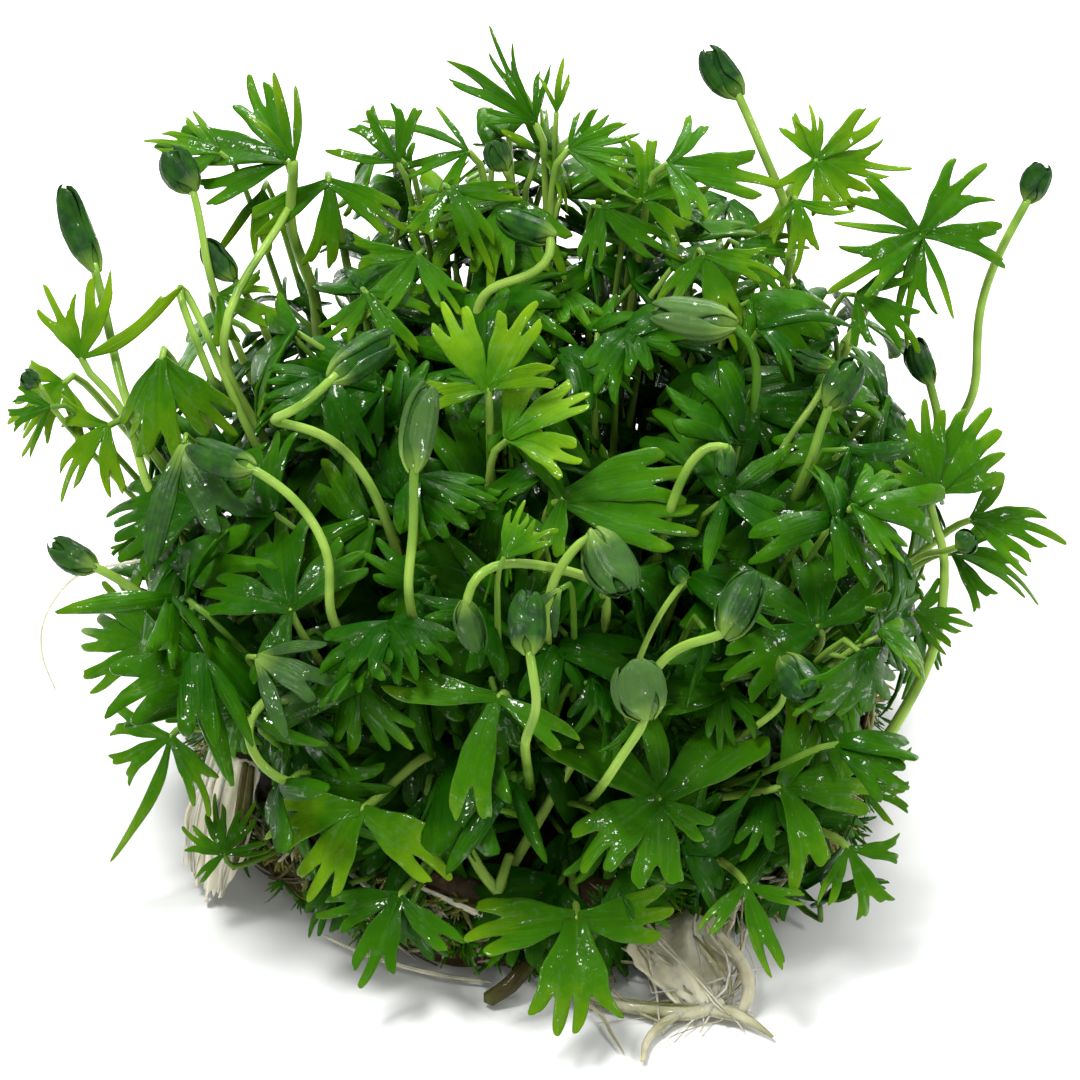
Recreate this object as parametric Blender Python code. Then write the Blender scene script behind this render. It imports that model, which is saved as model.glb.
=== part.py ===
"""River buttercup: a washed clump of young plants, standing on its flat pad of roots.

Lengths are in millimetres until add_object turns them into metres. The pad's middle is at the
origin, +Z is up, and -Y is the side that the clump is looked at from.
"""

import math
from collections import namedtuple
from functools import partial

import bmesh
import bpy
from mathutils import Vector
from mathutils.bvhtree import BVHTree

MM = 0.001

# Pad of matted roots, moulded by the round cup that the clump grew in
PAD_RADIUS = 28.5
PAD_TOP_RADIUS = 29.5
PAD_HEIGHT = 9.0
PAD_SIDES = 32

# Tangle of small inner leaves and stalks that stands on the pad
TANGLE_RADIUS = 25.5
TANGLE_HEIGHT = 28.0
TANGLE_BOXINESS = 0.75
TANGLE_RISE = 0.011
TANGLE_BUMP = 0.9
TANGLE_SIDES = 28
TANGLE_RINGS = 8

# Leaves
BLADE_THICKNESS = 0.5
HUB_RADIUS = 0.9
LOBE_GAP_ANGLE = 1.5
LONE_LOBE_ROOM = 40
STALK_RADIUS = 0.5
STALK_RINGS = 4
YOUNG_STALK_RINGS = 5
YOUNG_SIDES = 5

# Clearance between pieces, and the least height of a blade above the table
GAP = 0.3
LEAST_HEIGHT = 0.6

# The clump as photographed: camera tilt, millimetres to a pixel, and the pixel of the pad's middle
VIEW_TILT = math.radians(38)
PIXEL = 0.087
MIDDLE_PIXEL = (540, 768)
RIGHT = Vector((1, 0, 0))
UP = Vector((0, math.sin(VIEW_TILT), math.cos(VIEW_TILT)))
TOWARD = Vector((0, -math.cos(VIEW_TILT), math.sin(VIEW_TILT)))

# seen: pixel of the point where stalk and blade meet. height: millimetres above the table.
# turn: degrees of the middle lobe in the picture, anticlockwise from the right.
# lean: how far the blade faces right and up, 0 and 0 being square to the camera.
# lobes: (degrees from the middle lobe, length, finger count) of each lobe.
# cup and droop: how the blade rises from its middle and how its ends hang.
# via: pixels and heights that the stalk passes on its way down.
Leaf = namedtuple("Leaf", "name seen height turn lean lobes cup droop via")

# path: (pixel, height) from the lowest visible point of the stalk to its neck.
# tip: pixel and height of the folded blade's end. width: of the folded blade, in millimetres.
Young = namedtuple("Young", "name path tip width")


def leaf(name, seen, height, turn, lean, lobes, cup=0.15, droop=0.35, via=()):
    return Leaf(name, seen, height, turn, lean, lobes, cup, droop, via)


LEAVES = [
    leaf("leaf_front_low", (575, 905), 10.4, -92, (0.0, 0.25),
         [(-84, 9.6, 3), (0, 10.2, 3), (86, 8.6, 3)], 0.1, 0.1),
    leaf("leaf_front_large", (655, 790), 20.4, -92, (0.1, 0.35),
         [(-115, 9.5, 2), (-55, 9.0, 3), (0, 8.6, 2), (52, 5.6, 2), (134, 12.0, 2)], 0.15, 0.2),
    leaf("leaf_front_bright", (368, 800), 18, -122, (-0.25, 0.2),
         [(-62, 9.2, 3), (0, 9.2, 3), (88, 9.6, 3)], 0.15, 0.3, [((436, 745), 20)]),
    leaf("leaf_front_middle", (500, 690), 31, -115, (-0.1, 0.4),
         [(-70, 10.2, 2), (0, 11.0, 2), (78, 8.0, 2)]),
    leaf("leaf_top_wide", (562, 501), 39.9, -8, (0.1, 0.6),
         [(-95, 7.0, 2), (-20, 12.0, 3), (28, 11.5, 3), (125, 8.0, 2)], 0.2, 0.25),
    leaf("leaf_top_bright", (490, 395), 48, 95, (0.0, 0.2),
         [(-72, 6.5, 2), (-30, 8.6, 3), (26, 9.0, 3), (92, 6.0, 2)], 0.1, 0.15),
    leaf("leaf_top_cupped", (508, 444), 43.8, 8, (0.1, 0.9),
         [(-42, 7.5, 3), (12, 8.2, 3), (70, 6.5, 2)], 0.55, 0.2),
    leaf("leaf_left_high", (92, 362), 41, 70, (-0.15, 0.1),
         [(-56, 9.8, 1), (0, 9.6, 3), (50, 8.0, 2)], 0.1, 0.15),
    leaf("leaf_left_hanging", (73, 386), 37, -112, (-0.45, 0.25),
         [(-95, 6.0, 2), (-48, 7.0, 3), (0, 7.5, 3), (50, 7.0, 2)], 0.1, 0.35),
    leaf("leaf_left_veil", (172, 364), 42.8, -82, (-0.25, 0.1),
         [(-52, 9.0, 2), (0, 10.5, 3), (48, 9.0, 2)], 0.1, 0.3),
    leaf("leaf_left_fan", (119, 428), 36.6, -138, (-0.3, 0.2),
         [(-52, 6.5, 2), (0, 7.6, 3), (50, 7.0, 2)]),
    leaf("leaf_back_left_flat", (292, 168), 52, 172, (-0.15, 0.75),
         [(-50, 9.5, 3), (0, 12.0, 3), (42, 9.0, 2)], 0.1, 0.15),
    leaf("leaf_back_left_upright", (300, 172), 55, 98, (0.0, 0.0),
         [(-34, 6.0, 1), (0, 7.6, 2), (34, 5.6, 1)], 0.1, 0.05,
         [((288, 200), 49), ((312, 250), 44), ((324, 310), 38)]),
    leaf("leaf_back_left_droop", (333, 189), 51.1, -85, (0.0, 0.2),
         [(-62, 8.5, 2), (0, 8.0, 2), (58, 8.0, 3)], 0.15, 0.4),
    leaf("leaf_back_pointed", (536, 132), 55, 128, (0.0, 0.35),
         [(-42, 9.5, 2), (0, 12.5, 3), (34, 11.0, 2)], 0.1, 0.1),
    leaf("leaf_back_left_long", (470, 158), 51.4, 158, (-0.1, 0.55),
         [(-46, 7.5, 2), (0, 10.0, 3), (50, 8.0, 3)], 0.15, 0.25),
    leaf("leaf_back_right_long", (568, 158), 53.6, 22, (0.1, 0.55),
         [(-52, 8.0, 2), (0, 9.6, 3), (48, 8.5, 3)], 0.15, 0.25),
    leaf("leaf_back_middle", (509, 205), 48.6, -110, (0.0, 0.5),
         [(-60, 8.5, 3), (0, 9.0, 3), (60, 8.5, 3)], 0.15, 0.3),
    leaf("leaf_back_right_flat", (664, 173), 54.2, -8, (0.1, 0.7),
         [(-58, 7.5, 2), (0, 9.8, 3), (50, 6.5, 2)], 0.1, 0.25),
    leaf("leaf_back_right_star", (812, 166), 50.4, 22, (0.15, 0.3),
         [(-112, 8.0, 3), (-56, 8.0, 3), (0, 9.0, 3), (52, 7.5, 2), (102, 7.0, 2)], 0.15, 0.2,
         [((780, 210), 45.4), ((757, 255), 41.4)]),
    leaf("leaf_right_star", (913, 240), 46.6, -98, (0.3, 0.25),
         [(-68, 8.8, 3), (-12, 9.0, 3), (40, 6.0, 2), (88, 9.0, 2), (134, 9.6, 3)], 0.15, 0.3,
         [((851, 330), 40.6)]),
    leaf("leaf_right_fan", (925, 492), 33, 62, (0.35, 0.1),
         [(-46, 8.0, 2), (0, 9.5, 3), (44, 8.0, 3), (98, 5.5, 2)], 0.1, 0.1),
    leaf("leaf_right_long", (962, 520), 28, 0, (0.25, 0.45),
         [(-40, 7.6, 2), (0, 8.8, 3), (46, 6.0, 2)], 0.1, 0.15),
    leaf("leaf_right_low", (946, 552), 23, -10, (0.3, 0.3),
         [(-50, 7.0, 2), (0, 8.8, 3), (44, 6.0, 2)], 0.1, 0.25),
    leaf("leaf_left_low", (180, 732), 17, -118, (-0.35, 0.15),
         [(-78, 7.8, 2), (-34, 7.5, 2), (8, 11.0, 1), (66, 7.8, 3)], 0.1, 0.25),
    leaf("leaf_left_side", (159, 640), 23, 172, (-0.5, 0.3),
         [(-52, 7.5, 3), (0, 8.5, 3), (52, 7.5, 2)]),
    leaf("leaf_left_dark", (207, 510), 32.6, 168, (-0.4, 0.6),
         [(-60, 8.5, 3), (0, 9.5, 3), (58, 8.5, 3)]),
    leaf("leaf_middle_dark", (300, 606), 33, 104, (-0.3, 0.45),
         [(-64, 8.5, 3), (0, 10.5, 3), (60, 9.0, 3), (150, 7.5, 2)]),
    leaf("leaf_right_dark", (806, 622), 31, 150, (0.3, 0.5),
         [(-130, 9.0, 2), (-62, 9.0, 3), (0, 10.5, 3), (64, 9.5, 3)]),
    leaf("leaf_right_front", (772, 778), 19, 2, (0.35, 0.25),
         [(-62, 9.0, 2), (0, 10.0, 3), (62, 8.0, 3)]),
    leaf("leaf_right_edge", (838, 838), 13, -66, (0.45, 0.1),
         [(-58, 6.0, 2), (0, 8.0, 2), (56, 6.5, 2)]),
    leaf("leaf_base_right", (738, 872), 13, -76, (0.2, 0.2),
         [(-58, 6.6, 2), (0, 9.2, 2), (54, 6.0, 2)], 0.1, 0.15),
    leaf("leaf_base_left", (404, 884), 11, -112, (-0.15, 0.2),
         [(-60, 7.2, 3), (0, 8.4, 3), (62, 7.4, 2)], 0.1, 0.15),
]

YOUNG_LEAVES = [
    Young("young_leaf_far_left", [((152, 440), 36), ((122, 350), 41), ((107, 280), 45)],
          ((71, 198), 50), 3.0),
    Young("young_leaf_back_right", [((790, 260), 42), ((775, 195), 48), ((755, 150), 52), ((738, 106), 55)],
          ((702, 58), 58), 3.2),
    Young("young_leaf_far_right", [((955, 425), 27), ((974, 385), 31), ((972, 325), 36), ((990, 262), 42),
          ((1020, 208), 46)], ((1036, 168), 49), 2.8),
    Young("young_leaf_back_middle", [((478, 306), 47), ((525, 290), 49), ((556, 268), 51), ((556, 246), 52)],
          ((500, 226), 53), 2.8),
    Young("young_leaf_grey", [((744, 420), 41), ((752, 365), 45), ((732, 332), 48)],
          ((648, 320), 48), 3.4),
    Young("young_leaf_hairpin", [((392, 520), 38), ((368, 470), 42), ((330, 434), 46), ((270, 426), 47),
          ((312, 418), 50), ((337, 388), 51)], ((398, 342), 51), 3.0),
    Young("young_leaf_long_stalk", [((338, 612), 33), ((341, 560), 38), ((312, 506), 42), ((268, 472), 44)],
          ((205, 452), 43), 3.0),
    Young("young_leaf_silver", [((414, 596), 37), ((420, 535), 42), ((419, 478), 47)],
          ((432, 392), 52), 3.0),
    Young("young_leaf_hook", [((604, 590), 36), ((560, 568), 40), ((505, 560), 42), ((474, 572), 42),
          ((468, 596), 40)], ((482, 645), 36), 2.7),
    Young("young_leaf_broad", [((549, 589), 38.8), ((571, 549), 42.8), ((589, 529), 43.8)],
          ((623, 591), 40.8), 4.4),
    Young("young_leaf_dark", [((526, 728), 31), ((538, 705), 34), ((536, 680), 37), ((530, 650), 39)],
          ((528, 590), 42), 3.4),
    Young("young_leaf_round", [((606, 764), 27), ((622, 738), 30), ((642, 712), 33)],
          ((628, 654), 37), 4.8),
    Young("young_leaf_bent", [((630, 700), 29), ((655, 655), 34), ((684, 636), 37), ((714, 634), 38)],
          ((744, 572), 41), 3.6),
    Young("young_leaf_small", [((662, 520), 38), ((680, 472), 42), ((700, 444), 44), ((720, 448), 44)],
          ((716, 480), 42), 1.9),
    Young("young_leaf_right_dark", [((930, 440), 29), ((930, 412), 32), ((926, 388), 34)],
          ((904, 342), 38), 2.6),
    Young("young_leaf_right_upper", [((800, 470), 38), ((808, 440), 40), ((818, 414), 42)],
          ((846, 366), 45), 3.2),
    Young("young_leaf_left_dark", [((160, 600), 26), ((135, 580), 28), ((110, 568), 29)],
          ((64, 544), 30), 2.8),
    Young("young_leaf_low_hook", [((316, 768), 22), ((268, 742), 24), ((260, 712), 26), ((277, 692), 27)],
          ((326, 668), 29), 3.0),
]

# Leaves that stand behind, given by compass degrees, distance out, height, tilt and length
BACK_LEAVES = [
    ("leaf_rear_right", 34, 34, 34, 42, 9.5),
    ("leaf_rear_middle", 88, 33, 27, 56, 9.0),
    ("leaf_rear_left", 142, 34, 33, 46, 9.5),
]
BACK_LOBES = ((-66, 0.88, 3), (0, 1.0, 3), (66, 0.88, 3))


def seen_point(pixel, height):
    """The point at this height that the camera sees at this pixel."""
    across = (pixel[0] - MIDDLE_PIXEL[0]) * PIXEL
    up = (MIDDLE_PIXEL[1] - pixel[1]) * PIXEL
    back = (up - height * UP.z) / UP.y
    return Vector((across, back, height))


def blade_axes(turn, lean):
    """Side, middle lobe and face directions of a blade."""
    face = (TOWARD + RIGHT * lean[0] + UP * lean[1]).normalized()
    angle = math.radians(turn)
    wanted = RIGHT * math.cos(angle) + UP * math.sin(angle)
    middle = (wanted - TOWARD * (wanted.dot(face) / TOWARD.dot(face))).normalized()
    return middle.cross(face), middle, face


def lumps(bearing):
    """How far the tangle's outline swells and sinks round the clump."""
    return 1 + 0.035 * math.sin(5 * bearing + 0.6) + 0.025 * math.sin(9 * bearing)


def within_tangle(point):
    """Below 1 inside the tangle and above 1 outside."""
    out = math.hypot(point.x, point.y) / (TANGLE_RADIUS * lumps(math.atan2(point.y, point.x)))
    rise = max(0.0, point.z - PAD_HEIGHT) / (TANGLE_HEIGHT * (1 + TANGLE_RISE * point.y))
    power = 2 / TANGLE_BOXINESS
    return out**power + rise**power


def within_pad(point):
    """Below 1 inside the root pad and above 1 outside."""
    return max(math.hypot(point.x, point.y) / PAD_TOP_RADIUS, point.z / PAD_HEIGHT)


def within_clump(point):
    return min(within_tangle(point), within_pad(point))


def surface_normal(point):
    step = 0.2
    slope = [
        within_clump(point + Vector(axis) * step) - within_clump(point - Vector(axis) * step)
        for axis in ((1, 0, 0), (0, 1, 0), (0, 0, 1))
    ]
    return Vector(slope).normalized()


def stalk_foot(start):
    """Where a stalk coming down from start meets the tangle or the pad, and the way out of it there."""
    inner = Vector((start.x * 0.4, start.y * 0.4, PAD_HEIGHT * 0.7))
    way = (inner - start).normalized()
    point = start.copy()
    while within_clump(point) > 1:
        point += way * 0.1
    out = surface_normal(point)
    return point + out * GAP, out


def smooth_path(points, count):
    """count points on a smooth curve through these ones."""
    before = points[0] * 2 - points[1]
    after = points[-1] * 2 - points[-2]
    knots = [before, *points, after]
    spans = len(points) - 1
    path = []
    for i in range(count):
        place = i * spans / (count - 1)
        k = min(int(place), spans - 1)
        t = place - k
        a, b, c, d = knots[k : k + 4]
        path.append(
            (b * 2 + (c - a) * t + (a * 2 - b * 5 + c * 4 - d) * t**2 + (b * 3 - a - c * 3 + d) * t**3) / 2
        )
    return path


def carried_frames(path, first_side):
    """A side direction at each point of a path, carried along it without twist."""
    frames = []
    side = first_side
    for i in range(len(path)):
        ahead = (path[min(i + 1, len(path) - 1)] - path[max(i - 1, 0)]).normalized()
        side = (side - ahead * side.dot(ahead)).normalized()
        frames.append((side, ahead.cross(side)))
    return frames


def lobe_outline(angle, length, fingers, room):
    """Palm, notches and finger ends of one lobe in the flat blade, from its right side to its left.

    room is half the angle to the nearest lobe beside it, in degrees, and keeps the two apart.
    """
    widest = 0.5 * length * math.tan(math.radians(room - LOBE_GAP_ANGLE))
    half = min((0.1 + 0.033 * fingers) * length, widest)

    def spot(along, across):
        a = math.radians(angle)
        return Vector((-math.sin(a) * along + math.cos(a) * across, math.cos(a) * along + math.sin(a) * across))

    notches = [spot(0.52 * length, half)]
    ends = []
    for i in range(fingers):
        share = 2 * (i + 0.5) / fingers - 1
        slant = math.radians(24 * share * (fingers > 1))
        reach = length * (0.5 - 0.1 * abs(share))
        ends.append(spot(0.5 * length + reach * math.cos(slant), -share * half * 0.7 - reach * math.sin(slant)))
        last = i == fingers - 1
        edge = 2 * (i + 1) / fingers - 1
        notches.append(spot((0.52 if last else 0.64) * length, -edge * half))
    return spot(0.45 * length, 0), notches, ends


def flat_blade(lobes):
    """Hub ring, outline points and faces of a blade that is still flat."""
    edges = [lobes[0][0] - 34]
    edges += [(a[0] + b[0]) / 2 for a, b in zip(lobes, lobes[1:])]
    edges += [lobes[-1][0] + 34]
    behind = 360 - (edges[-1] - edges[0])
    extra = 2 if len(lobes) < 4 else 1
    edges += [edges[-1] + behind * (i + 1) / (extra + 1) for i in range(extra)]
    points = [
        Vector((-math.sin(math.radians(a)), math.cos(math.radians(a)))) * HUB_RADIUS for a in edges
    ]
    ring = list(range(len(points)))
    faces = [tuple(ring)]
    angles = [lobe[0] for lobe in lobes]
    for i, (angle, length, fingers) in enumerate(lobes):
        room = min([abs(angle - other) / 2 for other in angles if other != angle] + [LONE_LOBE_ROOM])
        palm, notches, ends = lobe_outline(angle, length, fingers, room)
        first = len(points)
        points += [palm, *notches, *ends]
        notch = [first + 1 + k for k in range(fingers + 1)]
        end = [first + 2 + fingers + k for k in range(fingers)]
        faces += [(i, notch[0], first), (i, first, i + 1), (i + 1, first, notch[-1])]
        for k in range(fingers):
            faces += [(first, notch[k], notch[k + 1]), (notch[k], end[k], notch[k + 1])]
    return points, ring, faces


def rim_of(faces):
    """Edges that only one face uses, each in its face's own direction."""
    used = {}
    for face in faces:
        for a, b in zip(face, face[1:] + face[:1]):
            used[(a, b)] = True
    return [edge for edge in used if (edge[1], edge[0]) not in used]


def stalk_path(hub, middle, face, via):
    """Points of a stalk from under the blade down to its foot."""
    under = hub - face * 1.6 - middle * 1.2
    start = via[-1] if via else hub - face * 3.0 - middle * 2.5
    foot, out = stalk_foot(start)
    reach = (start - foot).length
    above = foot + out * min(1.6, 0.4 * reach)
    return [hub, under, *via, above, foot]


def leaf_mesh(hub, axes, lobes, cup, droop, via, grow=0.0):
    """Points and faces of one leaf, blade and stalk in one closed skin. grow fattens it for a clearance test."""
    side, middle, face = axes
    flat, ring, tops = flat_blade(lobes)
    span = max(length for _, length, _ in lobes)
    half = BLADE_THICKNESS / 2 + grow
    points = []
    for level in (half, -half):
        for spot in flat:
            out = spot.length / span
            lift = span * (cup * out - droop * out**2) + level
            swell = 1 + grow / max(spot.length, 1)
            points.append(hub + side * spot.x * swell + middle * spot.y * swell + face * lift)
    count = len(flat)
    faces = list(tops)
    faces += [tuple(reversed([i + count for i in top])) for top in tops[1:]]
    faces += [(b, a, a + count, b + count) for a, b in rim_of(tops)]
    path = smooth_path(stalk_path(hub, middle, face, via), STALK_RINGS + len(via) + 1)[1:]
    first = (points[count] - hub).normalized()
    start = math.atan2(flat[0].y, flat[0].x)
    turns = [math.atan2(flat[i].y, flat[i].x) - start for i in ring]
    upper = [i + count for i in ring]
    for centre, (one, two) in zip(path, carried_frames(path, first)):
        lower = []
        for turn in turns:
            lower.append(len(points))
            points.append(centre + (one * math.cos(turn) - two * math.sin(turn)) * (STALK_RADIUS + grow))
        for k in range(len(ring)):
            n = (k + 1) % len(ring)
            faces.append((upper[k], lower[k], lower[n], upper[n]))
        upper = lower
    faces.append(tuple(upper))
    return points, faces


FOLD_PROFILE = ((0.1, 0.52), (0.3, 0.92), (0.55, 1.0), (0.8, 0.7), (0.94, 0.34))


def young_mesh(path, tip, width, grow=0.0):
    """Points and faces of a young leaf: a bent stalk that ends in its folded blade."""
    neck = path[-1]
    foot, out = stalk_foot(path[0])
    above = foot + out * min(1.6, 0.4 * (path[0] - foot).length)
    stalk = smooth_path([foot, above, *path], YOUNG_STALK_RINGS + len(path))
    fold = tip - neck
    stations = [(point, STALK_RADIUS, STALK_RADIUS) for point in stalk]
    for along, swell in FOLD_PROFILE:
        thick = max(0.36 * width * swell, STALK_RADIUS)
        stations.append((neck + fold * along, width / 2 * swell, thick))
    centres = [station[0] for station in stations]
    frames = carried_frames(centres, RIGHT + UP * 0.3)
    points, faces = [], []
    rings = []
    for (centre, wide, thick), (one, two) in zip(stations, frames):
        ring = []
        for k in range(YOUNG_SIDES):
            turn = 2 * math.pi * k / YOUNG_SIDES
            ring.append(len(points))
            offset = one * math.cos(turn) * (wide + grow) + two * math.sin(turn) * (thick + grow)
            points.append(centre + offset)
        rings.append(ring)
    points.append(tip + fold.normalized() * grow)
    for low, high in zip(rings, rings[1:]):
        for k in range(YOUNG_SIDES):
            n = (k + 1) % YOUNG_SIDES
            faces.append((low[k], low[n], high[n], high[k]))
    for k in range(YOUNG_SIDES):
        faces.append((rings[-1][k], rings[-1][(k + 1) % YOUNG_SIDES], len(points) - 1))
    faces.append(tuple(reversed(rings[0])))
    return points, faces


def check_free(name, points, faces, placed):
    """Stops the script if a fattened leaf meets the table, the tangle, the pad or a leaf placed so far."""
    if min(point.z for point in points) < LEAST_HEIGHT:
        raise RuntimeError(f"{name} is too low")
    tree = BVHTree.FromPolygons(points, faces)
    if any(tree.overlap(other) for other in placed):
        raise RuntimeError(f"{name} has no free place")


def place(name, build, placed, material):
    """Builds one leaf, and adds it to the scene and to what the next leaves stay clear of."""
    check_free(name, *build(GAP * 0.75), placed)
    points, faces = build(0.0)
    placed.append(BVHTree.FromPolygons(points, faces))
    return add_object(name, points, faces, material)


def add_object(name, points, faces, material):
    mesh = bpy.data.meshes.new(name)
    mesh.from_pydata([point * MM for point in points], [], faces)
    shape = bmesh.new()
    shape.from_mesh(mesh)
    bmesh.ops.recalc_face_normals(shape, faces=shape.faces)
    shape.to_mesh(mesh)
    shape.free()
    obj = bpy.data.objects.new(name, mesh)
    obj.data.materials.append(material)
    bpy.context.scene.collection.objects.link(obj)
    return obj


def make_material(name, colour, roughness):
    material = bpy.data.materials.new(name)
    material.use_nodes = True
    shader = material.node_tree.nodes["Principled BSDF"]
    shader.inputs["Base Color"].default_value = (*colour, 1)
    shader.inputs["Roughness"].default_value = roughness
    shader.inputs["Metallic"].default_value = 0.0
    return material


def ringed_solid(rings, base_middle, top_middle):
    """Points and faces of a closed stack of rings with a middle point below and above."""
    points, faces = [], []
    sides = len(rings[0])
    for ring in rings:
        points += ring
    points += [base_middle, top_middle]
    for j in range(len(rings) - 1):
        for k in range(sides):
            n = (k + 1) % sides
            a, b = j * sides, (j + 1) * sides
            faces.append((a + k, a + n, b + n, b + k))
    last = (len(rings) - 1) * sides
    for k in range(sides):
        n = (k + 1) % sides
        faces.append((n, k, len(points) - 2))
        faces.append((last + k, last + n, len(points) - 1))
    return points, faces


def root_pad(material):
    """The flat-bottomed pad of roots, a little wider at the top than at the table."""
    levels = (
        (0.0, PAD_RADIUS - 1.2),
        (1.2, PAD_RADIUS),
        (PAD_HEIGHT * 0.55, PAD_TOP_RADIUS - 0.6),
        (PAD_HEIGHT - 0.9, PAD_TOP_RADIUS - 0.2),
        (PAD_HEIGHT - 0.1, PAD_TOP_RADIUS - 1.6),
    )
    rings = []
    for height, radius in levels:
        ring = []
        for k in range(PAD_SIDES):
            bearing = 2 * math.pi * k / PAD_SIDES
            wavy = radius - 0.35 * (1 + math.sin(7 * bearing + height)) * (height > 0)
            ring.append(Vector((wavy * math.cos(bearing), wavy * math.sin(bearing), height)))
        rings.append(ring)
    points, faces = ringed_solid(rings, Vector((0, 0, 0)), Vector((0, 0, PAD_HEIGHT - 0.1)))
    return add_object("root_pad", points, faces, material)


def leaf_tangle(material):
    """The dome of crowded small leaves and stalks, modelled as the form that their tips reach."""
    rings = []
    for j in range(TANGLE_RINGS):
        slope = math.radians(90) * j / TANGLE_RINGS
        out = math.cos(slope) ** TANGLE_BOXINESS
        rise = TANGLE_HEIGHT * math.sin(slope) ** TANGLE_BOXINESS if j else 0.0
        ring = []
        for k in range(TANGLE_SIDES):
            bearing = 2 * math.pi * (k + 0.5 * (j % 2)) / TANGLE_SIDES
            bump = TANGLE_BUMP * math.sin(11 * k + 5 * j) * (j > 0)
            radius = TANGLE_RADIUS * out * lumps(bearing) + bump - TANGLE_BUMP
            y = radius * math.sin(bearing)
            z = PAD_HEIGHT + 0.2 + rise * (1 + TANGLE_RISE * y)
            ring.append(Vector((radius * math.cos(bearing), y, z)))
        rings.append(ring)
    base = Vector((0, 0, PAD_HEIGHT + 0.2))
    points, faces = ringed_solid(rings, base, Vector((0, 0, PAD_HEIGHT + TANGLE_HEIGHT)))
    return add_object("leaf_tangle", points, faces, material)


def strand(name, knots, radii, count, sides, material):
    """A root or stalk as a tapered tube along a smooth path, closed at both ends."""
    path = smooth_path([Vector(knot) for knot in knots], count)
    frames = carried_frames(path, Vector((0.3, 0.2, 1)))
    points, rings, faces = [], [], []
    for i, (centre, (one, two)) in enumerate(zip(path, frames)):
        place_along = i * (len(radii) - 1) / (count - 1)
        j = min(int(place_along), len(radii) - 2)
        radius = radii[j] + (radii[j + 1] - radii[j]) * (place_along - j)
        ring = []
        for k in range(sides):
            turn = 2 * math.pi * k / sides
            ring.append(len(points))
            points.append(centre + (one * math.cos(turn) + two * math.sin(turn)) * radius)
        rings.append(ring)
    for low, high in zip(rings, rings[1:]):
        for k in range(sides):
            n = (k + 1) % sides
            faces.append((low[k], low[n], high[n], high[k]))
    faces += [tuple(reversed(rings[0])), tuple(rings[-1])]
    return add_object(name, points, faces, material)


def fuse(body, others):
    """Joins other solids into body, as roots that have grown together."""
    for other in others:
        union = body.modifiers.new("fuse", "BOOLEAN")
        union.operation = "UNION"
        union.solver = "EXACT"
        union.object = other
        other.hide_render = True
        other.display_type = "WIRE"


def root_tufts(material, dead):
    """Loose roots that hang from the pad and lie on the table."""
    left = strand("root_tuft_left", [(-26.2, -16.2, 8.6), (-27.4, -17.6, 5.0), (-28.2, -18.4, 1.4)],
                  (1.6, 2.1, 1.3), 6, 8, material)
    lobe = strand("left_lobe", [(-28.6, -12.6, 8.2), (-29.6, -14.0, 4.6), (-28.8, -16.8, 2.4)],
                  (1.2, 1.6, 1.2), 5, 7, material)
    fuse(left, [lobe])
    right = strand("root_tuft_right", [(3.6, -30.9, 1.7), (9.2, -33.4, 1.3), (14.0, -34.2, 1.6),
                   (17.4, -31.2, 3.0)], (0.7, 1.0, 1.5, 1.7), 8, 8, material)
    claw = strand("right_claw", [(14.6, -34.0, 1.5), (11.2, -36.6, 0.9), (8.6, -39.2, 0.8)],
                  (1.1, 0.8, 0.6), 5, 7, material)
    spur = strand("right_spur", [(14.0, -33.6, 1.8), (17.6, -34.6, 1.4), (19.4, -36.4, 1.0)],
                  (1.3, 1.2, 0.6), 4, 7, material)
    fuse(right, [claw, spur])
    strand("rim_root", [(math.cos(a) * 29.9, math.sin(a) * 29.9, 0.8) for a in
                        (math.radians(d) for d in range(232, 263, 6))],
           (0.45, 0.65, 0.65, 0.4), 8, 6, material)
    strand("dead_stalk", [(-0.4, -29.9, 3.4), (-2.4, -31.2, 2.0), (-4.4, -32.0, 0.9)],
           (0.6, 0.8, 0.7), 4, 6, dead)


def rear_axes(bearing, tilt):
    """Axes of a blade behind the clump: middle lobe outward and down, face outward and up."""
    a, t = math.radians(bearing), math.radians(tilt)
    out = Vector((math.cos(a), math.sin(a), 0))
    face = out * math.sin(t) + Vector((0, 0, math.cos(t)))
    middle = out * math.cos(t) - Vector((0, 0, math.sin(t)))
    return middle.cross(face), middle, face


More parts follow.
